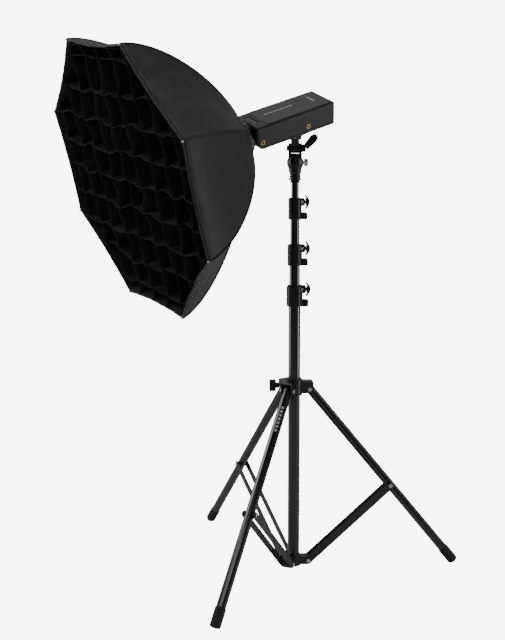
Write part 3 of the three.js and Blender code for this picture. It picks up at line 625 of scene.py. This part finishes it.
def dress(nodes, material, edge=0.0):
    """Gives CAD nodes a material and, where asked, softened edges."""
    for name in nodes:
        piece = frame["nodes"][name]
        piece.data.materials.clear()
        piece.data.materials.append(material)
        if edge:
            soften(piece, edge)


# ---------- the softbox's form ----------

def curve_radius(depth):
    """Corner radius of the rods' curve at a depth behind the rim."""
    share = min(max(depth, 0.0) / CURVE_DEPTH, 1.0) ** CURVE_BEND
    return CURVE_HUB + (CURVE_RIM - CURVE_HUB) * (1 - share) ** (1 / CURVE_FULLNESS)


def corner_angle(index):
    return FIRST_CORNER + CORNER_STEP * index


def rim_point(axes, radius, angle, depth):
    return axes.at(radius * math.cos(angle), depth, radius * math.sin(angle))


def even_depths(count):
    """Depths that step evenly along the rods' curve."""
    fine = [SHELL_DEPTH * step / 400 for step in range(401)]
    lengths = [0.0]
    for a, b in zip(fine, fine[1:]):
        lengths.append(lengths[-1] + math.hypot(b - a, curve_radius(b) - curve_radius(a)))
    return [float(np.interp(lengths[-1] * step / (count - 1), lengths, fine)) for step in range(count)]


def drift(point, size, seed):
    """Smooth noise between about -1 and 1 with features of about a size."""
    return noise.noise(Vector(point) / size + Vector((seed * 7.31, seed * 3.17, seed * 5.53))) * 1.6


def panel_surface(axes, index, settings):
    """Points of one panel, row by row from the rim back, with its hollow and wrinkles."""
    depths = even_depths(PANEL_ALONG)
    first, last = corner_angle(index), corner_angle(index + 1)
    middle = (first + last) / 2
    outward = axes.x * math.cos(middle) + axes.z * math.sin(middle)
    base = np.zeros((PANEL_ALONG, PANEL_ACROSS, 3))
    for row, depth in enumerate(depths):
        radius = curve_radius(depth)
        a = rim_point(axes, radius, first, depth)
        b = rim_point(axes, radius, last, depth)
        for column in range(PANEL_ACROSS):
            base[row, column] = a.lerp(b, column / (PANEL_ACROSS - 1))
    along = np.gradient(base, axis=0)
    across = np.gradient(base, axis=1)
    normals = np.cross(along, across)
    normals /= np.linalg.norm(normals, axis=2, keepdims=True)
    if normals[0, PANEL_ACROSS // 2] @ np.array(outward) < 0:
        normals = -normals
    points = []
    for row in range(PANEL_ALONG):
        back = row / (PANEL_ALONG - 1)
        width = np.linalg.norm(base[row, -1] - base[row, 0])
        for column in range(PANEL_ACROSS):
            share = column / (PANEL_ACROSS - 1)
            place = Vector(base[row, column])
            arch = math.sin(math.pi * share)
            fullness = math.sin(math.pi * min(0.16 + 0.84 * back, 1.0)) ** 0.8
            offset = -settings.panel_hollow * arch ** 0.8 * fullness
            edge = min(share, 1 - share) * width
            seam = math.exp(-edge / GATHER_REACH)
            front = math.exp(-back / 0.05)
            line = back * 0.42
            gather = math.sin(line * 2 * math.pi / GATHER_PITCH + 3 * drift(place, 0.05, index))
            offset += settings.pucker * gather * seam * arch ** 0.3
            offset += settings.wrinkle * drift(place, LARGE_WRINKLE, index + 11) * arch ** 0.5
            offset += settings.wrinkle * 0.5 * drift(place, SMALL_WRINKLE, index + 23) * arch ** 0.5
            fold = math.sin((share - 0.5) * 9 * math.pi + index) * math.exp(-(1 - back) / 0.12)
            offset += settings.wrinkle * 0.9 * fold * arch
            sag = -0.6 * settings.panel_hollow * arch * front
            moved = place + Vector(normals[row, column]) * offset + outward * sag
            points.append(moved)
    return points


def flat_size(points, columns, rows):
    """Width, length and area of a net of points laid flat."""
    grid = np.array([tuple(point) for point in points]).reshape(rows, columns, 3)
    widths = np.linalg.norm(np.diff(grid, axis=1), axis=2).sum(axis=1)
    lengths = np.linalg.norm(np.diff(grid, axis=0), axis=2).sum(axis=0)
    a = np.cross(grid[1:, 1:] - grid[:-1, :-1], grid[1:, :-1] - grid[:-1, 1:])
    area = 0.5 * np.linalg.norm(a, axis=2).sum()
    return float(widths.max()), float(lengths.max()), float(area)


# ---------- operators ----------

class SOFTBOX_OT_stage(bpy.types.Operator):
    """Camera, pale floor and soft studio light"""
    bl_idname = "softbox.stage"
    bl_label = "Stage"

    def execute(self, context):
        settings = context.scene.softbox_stage
        scene = context.scene
        camera = bpy.data.cameras.new("Camera")
        camera.lens = settings.lens
        camera.sensor_width = 36
        camera.shift_x, camera.shift_y = CAMERA_SHIFT
        viewer = bpy.data.objects.new("Camera", camera)
        scene.collection.objects.link(viewer)
        forward = Vector(CAMERA_FORWARD).normalized()
        right = forward.cross(Vector((0, 0, 1))).normalized()
        up = right.cross(forward)
        turn = Matrix((right, up, -forward)).transposed()
        viewer.matrix_world = Matrix.Translation(CAMERA_PLACE) @ turn.to_4x4()
        scene.camera = viewer

        self.floor(forward)
        target = Vector((0, 0, 0.6))
        flat = Vector((forward.x, forward.y, 0)).normalized()
        beside = Vector((flat.y, -flat.x, 0))
        self.light("Key", target - flat * 1.6 - beside * 1.4 + Vector((0, 0, 1.5)), target, 1.6, 1.2,
                   settings.key_power)
        self.light("Left strip", target + flat * 0.4 - beside * 2.0 + Vector((0, 0, 0.3)), target, 0.5, 2.2,
                   settings.side_power)
        self.light("Right strip", target - flat * 0.3 + beside * 2.0 + Vector((0, 0, 0.4)), target, 0.5, 2.2,
                   settings.side_power)
        self.light("Top", target + Vector((0, 0, 2.4)) + flat * 0.3, target, 1.8, 1.8,
                   settings.key_power * 0.8)
        world = bpy.data.worlds.new("Surroundings")
        world.use_nodes = True
        shade = world.node_tree.nodes["Background"]
        shade.inputs["Color"].default_value = (1, 1, 1, 1)
        shade.inputs["Strength"].default_value = settings.world_level
        scene.world = world
        return {"FINISHED"}

    def light(self, name, place, target, width, height, power):
        data = bpy.data.lights.new(name, "AREA")
        data.shape = "RECTANGLE"
        data.size = width
        data.size_y = height
        data.energy = power
        lamp = bpy.data.objects.new(name, data)
        bpy.context.scene.collection.objects.link(lamp)
        lamp.location = place
        lamp.rotation_euler = (target - place).to_track_quat("-Z", "Y").to_euler()

    def floor(self, forward):
        """A floor that curves up into a backdrop behind the object."""
        flat = Vector((forward.x, forward.y, 0)).normalized()
        beside = Vector((flat.y, -flat.x, 0))
        profile = [(-4.0, 0.0), (2.2, 0.0)]
        for step in range(1, 17):
            angle = math.pi / 2 * step / 16
            profile.append((2.2 + 1.5 * math.sin(angle), 1.5 * (1 - math.cos(angle))))
        profile.append((3.7, 6.0))
        vertices = []
        for reach, height in profile:
            for side in (-5.0, 5.0):
                vertices.append(flat * reach + beside * side + Vector((0, 0, height - 0.0005)))
        backdrop = new_piece("Floor", vertices, net(2, len(profile)), floor_finish())


class SOFTBOX_OT_shell(bpy.types.Operator):
    """The eight cloth panels of the softbox, with their silver lining"""
    bl_idname = "softbox.shell"
    bl_label = "Shell"

    def execute(self, context):
        settings = context.scene.softbox_cloth
        axes = softbox_axes()
        faces = net(PANEL_ACROSS, PANEL_ALONG)
        for index in range(CORNERS):
            points = panel_surface(axes, index, settings)
            panel = new_piece(f"shell_panel_{index + 1}", points, faces, [shell_cloth(), lining()])
            face_outward(panel, axes)
            solid = thicken(panel, CLOTH_THICKNESS)
            solid.material_offset = 1
            solid.use_rim = True
            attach(panel, "softbox")
            if index == 0:
                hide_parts("softbox_shell")
        return {"FINISHED"}


def face_outward(piece, axes):
    """Turns a panel's faces so that they look away from the softbox's axis."""
    mesh = piece.data
    face = mesh.polygons[len(mesh.polygons) // 2]
    offset = face.center - axes.origin
    away = offset - axes.y * axes.y.dot(offset)
    if face.normal.dot(away) < 0:
        mesh.flip_normals()


class SOFTBOX_OT_trim(bpy.types.Operator):
    """Seam piping, the rim's hem and the rod tips"""
    bl_idname = "softbox.trim"
    bl_label = "Seams and rim"

    def execute(self, context):
        axes = softbox_axes()
        self.seams(axes)
        self.hem(axes, context.scene.softbox_cloth)
        self.tips(axes)
        return {"FINISHED"}

    def seams(self, axes):
        parts = []
        depths = even_depths(40)
        for index in range(CORNERS):
            angle = corner_angle(index)
            line = [rim_point(axes, curve_radius(depth) + 0.0003, angle, depth) for depth in depths]
            parts.append(sweep(line, PIPING_RADIUS))
        piece = new_piece("shell_seams", *joined(parts), piping_cloth())
        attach(piece, "softbox")

    def hem(self, axes, settings):
        """A folded band that runs round the rim, inside and out."""
        columns = 24
        outline = []
        for index in range(CORNERS):
            first, last = corner_angle(index), corner_angle(index + 1)
            middle = (first + last) / 2
            outward = axes.x * math.cos(middle) + axes.z * math.sin(middle)
            for column in range(columns):
                share = column / columns
                arch = math.sin(math.pi * share)
                sag = settings.panel_hollow * (0.6 * arch + arch ** 0.8 * 0.5)
                outline.append((first, last, share, outward, sag))
        section = [(0.0010, HEM_WIDTH), (0.0016, 0.0008), (0.0002, -0.0012), (-0.0026, -0.0012),
                   (-0.0036, 0.0008), (-0.0030, HEM_WIDTH)]
        vertices, faces = [], []
        for step, (first, last, share, outward, sag) in enumerate(outline):
            wave = 0.0005 * math.sin(step * 1.9) + 0.0003 * math.sin(step * 0.83)
            for out, depth in section:
                radius = curve_radius(max(depth, 0.0)) + out
                a = rim_point(axes, radius, first, depth)
                b = rim_point(axes, radius, last, depth)
                vertices.append(a.lerp(b, share) - outward * (sag + wave))
        count = len(section)
        total = len(outline)
        for step in range(total):
            for corner in range(count):
                a = step * count + corner
                b = step * count + (corner + 1) % count
                c = ((step + 1) % total) * count + (corner + 1) % count
                d = ((step + 1) % total) * count + corner
                faces.append([a, d, c, b])
        piece = new_piece("rim_hem", vertices, faces, hem_cloth())
        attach(piece, "softbox")

    def tips(self, axes):
        """Pale caps where the rods' ends stand in the corners of the rim."""
        parts = []
        for index in range(CORNERS):
            angle = corner_angle(index)
            tip = rim_point(axes, CURVE_RIM - 0.001, angle, -0.0025)
            outward = axes.x * math.cos(angle) + axes.z * math.sin(angle)
            side = outward.cross(axes.y)
            own = Axes(tip, side, axes.y.cross(side), -axes.y)
            profile = [(TIP_RADIUS, -TIP_LENGTH), (TIP_RADIUS, 0.0004), (0.75 * TIP_RADIUS, 0.0012),
                       (0.3 * TIP_RADIUS, 0.0016)]
            parts.append(lathe(own, profile, 12))
        piece = new_piece("rod_tips", *joined(parts), rod_finish())
        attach(piece, "softbox")


class SOFTBOX_OT_grid(bpy.types.Operator):
    """The egg-crate grid of cloth strips inside the rim"""
    bl_idname = "softbox.grid"
    bl_label = "Grid"

    def execute(self, context):
        slack = context.scene.softbox_cloth.grid_slack
        axes = softbox_axes()
        block = Taper(axes, "grid")
        parts = []
        for number in range(-GRID_STRIPS, GRID_STRIPS + 1):
            for upright in (True, False):
                part, length, area = self.strip(axes, block, number * GRID_PITCH, upright, slack)
                parts.append(part)
        band, length, area = self.band(axes, block, slack)
        parts.append(band)
        piece = new_piece("grid_strips", *joined(parts), grid_cloth())
        solid = thicken(piece, STRIP_THICKNESS)
        solid.offset = 0
        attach(piece, "softbox")
        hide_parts("grid")
        return {"FINISHED"}

    def half_length(self, offset, radius):
        """Half the length of a strip at an offset from the middle of the octagon."""
        flat = radius * math.cos(FIRST_CORNER)
        side = radius * math.sin(FIRST_CORNER)
        offset = abs(offset)
        return flat if offset <= side else flat - (offset - side)

    def shifted(self, axes, x, depth, z, block, slack):
        """A place in the grid, moved by the slack that all strips there share."""
        front = 1 - block.share(depth)
        flat = block.radius(depth) * math.cos(FIRST_CORNER)
        edge = 1 - max(abs(x), abs(z), (abs(x) + abs(z)) / math.sqrt(2)) / flat
        free = min(max(edge, 0.0) / GRID_FREE_EDGE, 1.0)
        size = slack * (0.35 + 0.65 * front) * free
        across = drift((x, 0.3 * depth, z), 0.075, 3) + 0.5 * drift((x, depth, z), 0.03, 4)
        upward = drift((x, 0.3 * depth, z), 0.075, 5) + 0.5 * drift((x, depth, z), 0.03, 6)
        ripple = drift((x, 0, z), 0.035, 8) * 0.5 * slack * front * free
        sag = -0.6 * slack * free * math.sin(math.pi * min(max(edge, 0), 1) / 2)
        return axes.at(x + across * size, depth + ripple + 0.002 * front * free, z + upward * size + sag)

    def strip(self, axes, block, offset, upright, slack):
        longest = self.half_length(offset, block.wide)
        count = max(int(round(2 * longest / GRID_PITCH * GRID_STEPS)), 8)
        rows = 7
        points = []
        for row in range(rows):
            depth = block.front + (block.back - block.front) * row / (rows - 1)
            half = self.half_length(offset, block.radius(depth))
            for step in range(count + 1):
                along = -half + 2 * half * step / count
                x, z = (offset, along) if upright else (along, offset)
                crossing = abs(math.sin(math.pi * along / GRID_PITCH))
                bow = 0.6 * slack * crossing * drift((along, offset, 3.0 * upright), 0.03, 14)
                bow *= 0.3 + 0.7 * (1 - row / (rows - 1))
                x, z = (x + bow, z) if upright else (x, z + bow)
                points.append(self.shifted(axes, x, depth, z, block, slack))
        length, _, area = flat_size(points, count + 1, rows)
        return (points, net(count + 1, rows)), length, area

    def band(self, axes, block, slack):
        """The band that the strips' ends are sewn to."""
        rows = 5
        steps = 12
        points = []
        for row in range(rows):
            depth = block.front + (block.back - block.front) * row / (rows - 1)
            radius = block.radius(depth)
            for index in range(CORNERS):
                for step in range(steps):
                    a = rim_point(axes, radius, corner_angle(index), depth)
                    b = rim_point(axes, radius, corner_angle(index + 1), depth)
                    point = a.lerp(b, step / steps)
                    inward = (axes.origin + axes.y * depth - point).normalized()
                    wave = 0.25 * slack * math.sin(math.pi * step / steps) * (1 + drift(point, 0.03, 9))
                    points.append(point + inward * wave)
            points.append(rim_point(axes, radius, corner_angle(0), depth))
        columns = CORNERS * steps + 1
        length, _, area = flat_size(points, columns, rows)
        return (points, net(columns, rows)), length, area


class SOFTBOX_OT_sheets(bpy.types.Operator):
    """The white front diffuser and the inner baffle"""
    bl_idname = "softbox.sheets"
    bl_label = "Diffuser and baffle"

    def execute(self, context):
        sag = context.scene.softbox_cloth.sheet_sag
        axes = softbox_axes()
        for name, node in (("diffuser_cloth", "front_diffuser"), ("baffle_cloth", "inner_baffle")):
            low, high = axes.span(node)
            depth = (low[1] + high[1]) / 2
            radius = (high[0] - low[0]) / 2 / math.cos(FIRST_CORNER)
            piece, flat, area = self.octagon(axes, name, radius, depth, sag)
            thicken(piece, CLOTH_THICKNESS)
            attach(piece, "softbox")
            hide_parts(node)
        return {"FINISHED"}

    def octagon(self, axes, name, radius, depth, sag):
        around = CORNERS * 6
        points = [axes.at(0, depth + sag, 0)]
        for ring in range(1, SHEET_STEPS + 1):
            share = ring / SHEET_STEPS
            for step in range(around):
                index, part = divmod(step, 6)
                a = rim_point(axes, radius * share, corner_angle(index), depth)
                b = rim_point(axes, radius * share, corner_angle(index + 1), depth)
                point = a.lerp(b, part / 6)
                slack = sag * (1 - share ** 2) + 0.35 * sag * drift(point, 0.06, 31) * (1 - share ** 4)
                points.append(point + axes.y * slack)
        faces = [[0, 1 + step, 1 + (step + 1) % around] for step in range(around)]
        for ring in range(SHEET_STEPS - 1):
            for step in range(around):
                a = 1 + ring * around + step
                b = 1 + ring * around + (step + 1) % around
                faces.append([a, a + around, b + around, b])
        piece = new_piece(name, points, faces, white_cloth())
        width = 2 * radius * math.cos(FIRST_CORNER)
        area = 2 * math.sqrt(2) * radius ** 2
        return piece, (width, width), area


class SOFTBOX_OT_ring(bpy.types.Operator):
    """Finish of the speed ring, rods, adaptor and lamp"""
    bl_idname = "softbox.ring"
    bl_label = "Ring and lamp"

    def execute(self, context):
        edge = context.scene.softbox_finish.edge
        dress(["speed_ring"], ring_finish(), edge)
        dress(["adaptor_ring"], adaptor_finish(), edge)
        dress([f"rod_{number}" for number in range(1, CORNERS + 1)], rod_finish())
        dress(["lamp_head"], casing_finish(), edge)
        dress(["lamp_glass", "flash_tube"], glass_finish())
        return {"FINISHED"}


class SOFTBOX_OT_flash(bpy.types.Operator):
    """Finish and small features of the flash head"""
    bl_idname = "softbox.flash"
    bl_label = "Flash head"

    def execute(self, context):
        edge = context.scene.softbox_finish.edge
        dress(["flash_casing"], casing_finish(), edge)
        dress(["flash_top_cover"], cover_finish(), edge)
        dress(["control_panel", "battery_pack"], plastic_finish(), edge)
        dress(["battery_latch", "head_release", "control_dial", "power_button", "test_button"],
              grip_finish(), 0.6 * edge)
        dress(["thread_insert_1", "thread_insert_2"], brass_finish())
        axes = flash_axes()
        self.marks(axes)
        self.vent_shade(axes)
        return {"FINISHED"}

    def marks(self, axes):
        """Plain printed dashes on the cover."""
        low, high = axes.span("flash_top_cover")
        top = high[2] + 0.00003
        length = high[1] - low[1]
        parts = []
        cursor = low[1] + 0.12 * length
        for width in (0.006, 0.003, 0.008, 0.004, 0.005, 0.011, 0.007, 0.009):
            parts.append(slab(axes, (-0.004, cursor + width / 2, top), (0.0032, width, 0.0001)))
            cursor += width + 0.0022
        for place, width in ((-0.012, 0.004), (-0.006, 0.003), (0.0, 0.005), (0.006, 0.003)):
            parts.append(slab(axes, (place, high[1] - 0.024, top), (width, 0.0045, 0.0001)))
        piece = new_piece("cover_marks", *joined(parts), print_finish(), smooth=False)
        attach(piece, "flash")

    def vent_shade(self, axes):
        """A row of seven slots in the far side near the rear, drawn as dark inlaid bars: painted shade of
        the slot openings.
        """
        low, high = axes.span("flash_casing")
        parts = []
        for step in range(7):
            parts.append(slab(axes, (low[0] + 0.0001, high[1] - 0.05 + 0.0042 * step, 0.0),
                              (0.0008, 0.0018, 0.017)))
        # The bars take the dark rubber finish: painted shade inside the vent slots, not real rubber.
        piece = new_piece("casing_vent_shade", *joined(parts), rubber_and_vent_shade_finish(), smooth=False)
        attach(piece, "flash")


class SOFTBOX_OT_tilt_head(bpy.types.Operator):
    """Finish of the tilt head"""
    bl_idname = "softbox.tilt_head"
    bl_label = "Tilt head"

    def execute(self, context):
        edge = context.scene.softbox_finish.edge
        dress(["head_socket", "tilt_block", "tilt_lever"], plastic_finish(), edge)
        dress(["mount_screw", "socket_knob"], steel_finish(), 0.6 * edge)
        return {"FINISHED"}


class SOFTBOX_OT_stand(bpy.types.Operator):
    """Finish of the column, clamps, collar and hub, with their bolt heads"""
    bl_idname = "softbox.stand"
    bl_label = "Column"

    def execute(self, context):
        settings = context.scene.softbox_finish
        dress([f"tube_{number}" for number in range(1, 5)], tube_finish())
        dress(["spigot"], plastic_finish())
        dress([f"clamp_{number}" for number in (1, 2, 3)], plastic_finish(), settings.edge)
        dress([f"clamp_knob_{number}" for number in (1, 2, 3)], plastic_finish(), settings.edge)
        dress(["leg_collar", "lower_hub"], casting_finish(), settings.edge)
        dress(["leg_collar_knob"], plastic_finish(), 0.6 * settings.edge)
        for number, body in ((1, "stand_base"), (2, "stage_2"), (3, "stage_3")):
            self.bolt(number, body, settings.rivet)
        return {"FINISHED"}

    def bolt(self, number, body, radius):
        """The bright bolt across a clamp's split boss."""
        knob = JOINTS[f"clamp_knob_{number}_turn"]
        outward = Vector(knob["axis"])
        side = Vector((0, 0, 1)).cross(outward).normalized()
        place = Vector(knob["pos_m"]) + outward * BOLT_REACH
        parts = []
        for way in (1, -1):
            own = Axes(place + side * BOLT_SIDE * way, outward, (side * way).cross(outward), side * way)
            parts.append(lathe(own, [(radius * 0.8, 0), (radius * 0.8, 0.0012), (radius * 0.62, 0.0019),
                                     (radius * 0.3, 0.0019)], 16))
        piece = new_piece(f"clamp_bolt_{number}", *joined(parts), steel_finish())
        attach(piece, body)


class SOFTBOX_OT_legs(bpy.types.Operator):
    """Finish of the legs, braces and feet, with rivets and a plain label"""
    bl_idname = "softbox.legs"
    bl_label = "Legs"

    def execute(self, context):
        settings = context.scene.softbox_finish
        dress([f"leg_tube_{number}" for number in (1, 2, 3)], tube_finish())
        dress([f"leg_foot_{number}" for number in (1, 2, 3)], rubber_and_vent_shade_finish(), settings.edge)
        dress([f"leg_bolt_{number}" for number in (1, 2, 3)], steel_finish())
        dress([f"brace_{number}" for number in (1, 2, 3)], casting_finish(), 0.6 * settings.edge)
        for number in (1, 2, 3):
            self.rivets(number, settings.rivet)
        self.label()
        return {"FINISHED"}

    def rivets(self, number, radius):
        """Bright rivet heads over both ends of a brace."""
        joint = JOINTS[f"brace_fold_{number}"]
        pivot = Vector(joint["pos_m"])
        across = Vector(joint["axis"])
        points = node_points(f"brace_{number}")
        far = max(points, key=lambda point: (point - pivot).length)
        rough = (far - pivot) - across * across.dot(far - pivot)
        along = tube_line(f"brace_{number}", pivot, rough.normalized(), across)
        half = max(across.dot(point - pivot) for point in points)
        reach = max(along.dot(point - pivot) for point in points) - 0.007
        parts = []
        for place in (pivot, pivot + along * reach):
            for way in (1, -1):
                own = Axes(place + across * half * way, along, (across * way).cross(along), across * way)
                parts.append(lathe(own, [(radius * 0.98, -0.0014), (radius * 0.98, 0.0002),
                                         (radius * 0.7, 0.0010), (radius * 0.25, 0.0013)], 16))
        piece = new_piece(f"brace_rivets_{number}", *joined(parts), steel_finish())
        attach(piece, f"brace_{number}")

    def label(self):
        """A plain pale label with dark bars, wrapped on the upper part of the front leg."""
        axes = leg_axes(3)
        parts = []
        for index in range(7):
            start = -0.040 - 0.0085 * index
            parts.append(self.patch(axes, LABEL_RADIUS, LABEL_ANGLE, LABEL_SPREAD, start, start - 0.0055))
        piece = new_piece("leg_label", *joined(parts), print_finish())
        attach(piece, "leg_3")

    def patch(self, axes, radius, middle, spread, top, bottom):
        columns = 7
        vertices = []
        for layer in (radius, radius + 0.0001):
            for height in (top, bottom):
                for column in range(columns):
                    angle = middle - spread + 2 * spread * column / (columns - 1)
                    vertices.append(axes.at(layer * math.cos(angle), layer * math.sin(angle), height))
        faces = [face[::-1] for face in net(columns, 2)]
        faces += [[index + 2 * columns for index in face] for face in net(columns, 2)]
        rim = list(range(columns)) + list(range(2 * columns - 1, columns - 1, -1))
        for a, b in zip(rim, rim[1:] + rim[:1]):
            faces.append([a, b, b + 2 * columns, a + 2 * columns])
        return vertices, faces


STEPS = ("stage", "shell", "trim", "grid", "sheets", "ring", "flash", "tilt_head", "stand", "legs")
CLASSES = (SoftboxClothSettings, SoftboxFinishSettings, SoftboxStageSettings, SOFTBOX_OT_stage,
           SOFTBOX_OT_shell, SOFTBOX_OT_trim, SOFTBOX_OT_grid, SOFTBOX_OT_sheets, SOFTBOX_OT_ring,
           SOFTBOX_OT_flash, SOFTBOX_OT_tilt_head, SOFTBOX_OT_stand, SOFTBOX_OT_legs)


class SOFTBOX_PT_panel(bpy.types.Panel):
    """Settings and steps of the studio softbox"""
    bl_idname = "SOFTBOX_PT_panel"
    bl_label = "Studio softbox"
    bl_space_type = "VIEW_3D"
    bl_region_type = "UI"
    bl_category = "Softbox"

    def draw(self, context):
        layout = self.layout
        for group in (context.scene.softbox_cloth, context.scene.softbox_finish,
                      context.scene.softbox_stage):
            column = layout.column(align=True)
            for name in group.bl_rna.properties.keys():
                if name not in ("rna_type", "name"):
                    column.prop(group, name)
        for step in STEPS:
            layout.operator(f"softbox.{step}")


def register():
    for each in CLASSES:
        bpy.utils.register_class(each)
    bpy.utils.register_class(SOFTBOX_PT_panel)
    bpy.types.Scene.softbox_cloth = bpy.props.PointerProperty(type=SoftboxClothSettings)
    bpy.types.Scene.softbox_finish = bpy.props.PointerProperty(type=SoftboxFinishSettings)
    bpy.types.Scene.softbox_stage = bpy.props.PointerProperty(type=SoftboxStageSettings)


def unregister():
    del bpy.types.Scene.softbox_stage
    del bpy.types.Scene.softbox_finish
    del bpy.types.Scene.softbox_cloth
    bpy.utils.unregister_class(SOFTBOX_PT_panel)
    for each in reversed(CLASSES):
        bpy.utils.unregister_class(each)


def main():
    register()
    for step in STEPS:
        getattr(bpy.ops.softbox, step)()


if __name__ == "__main__":
    main()
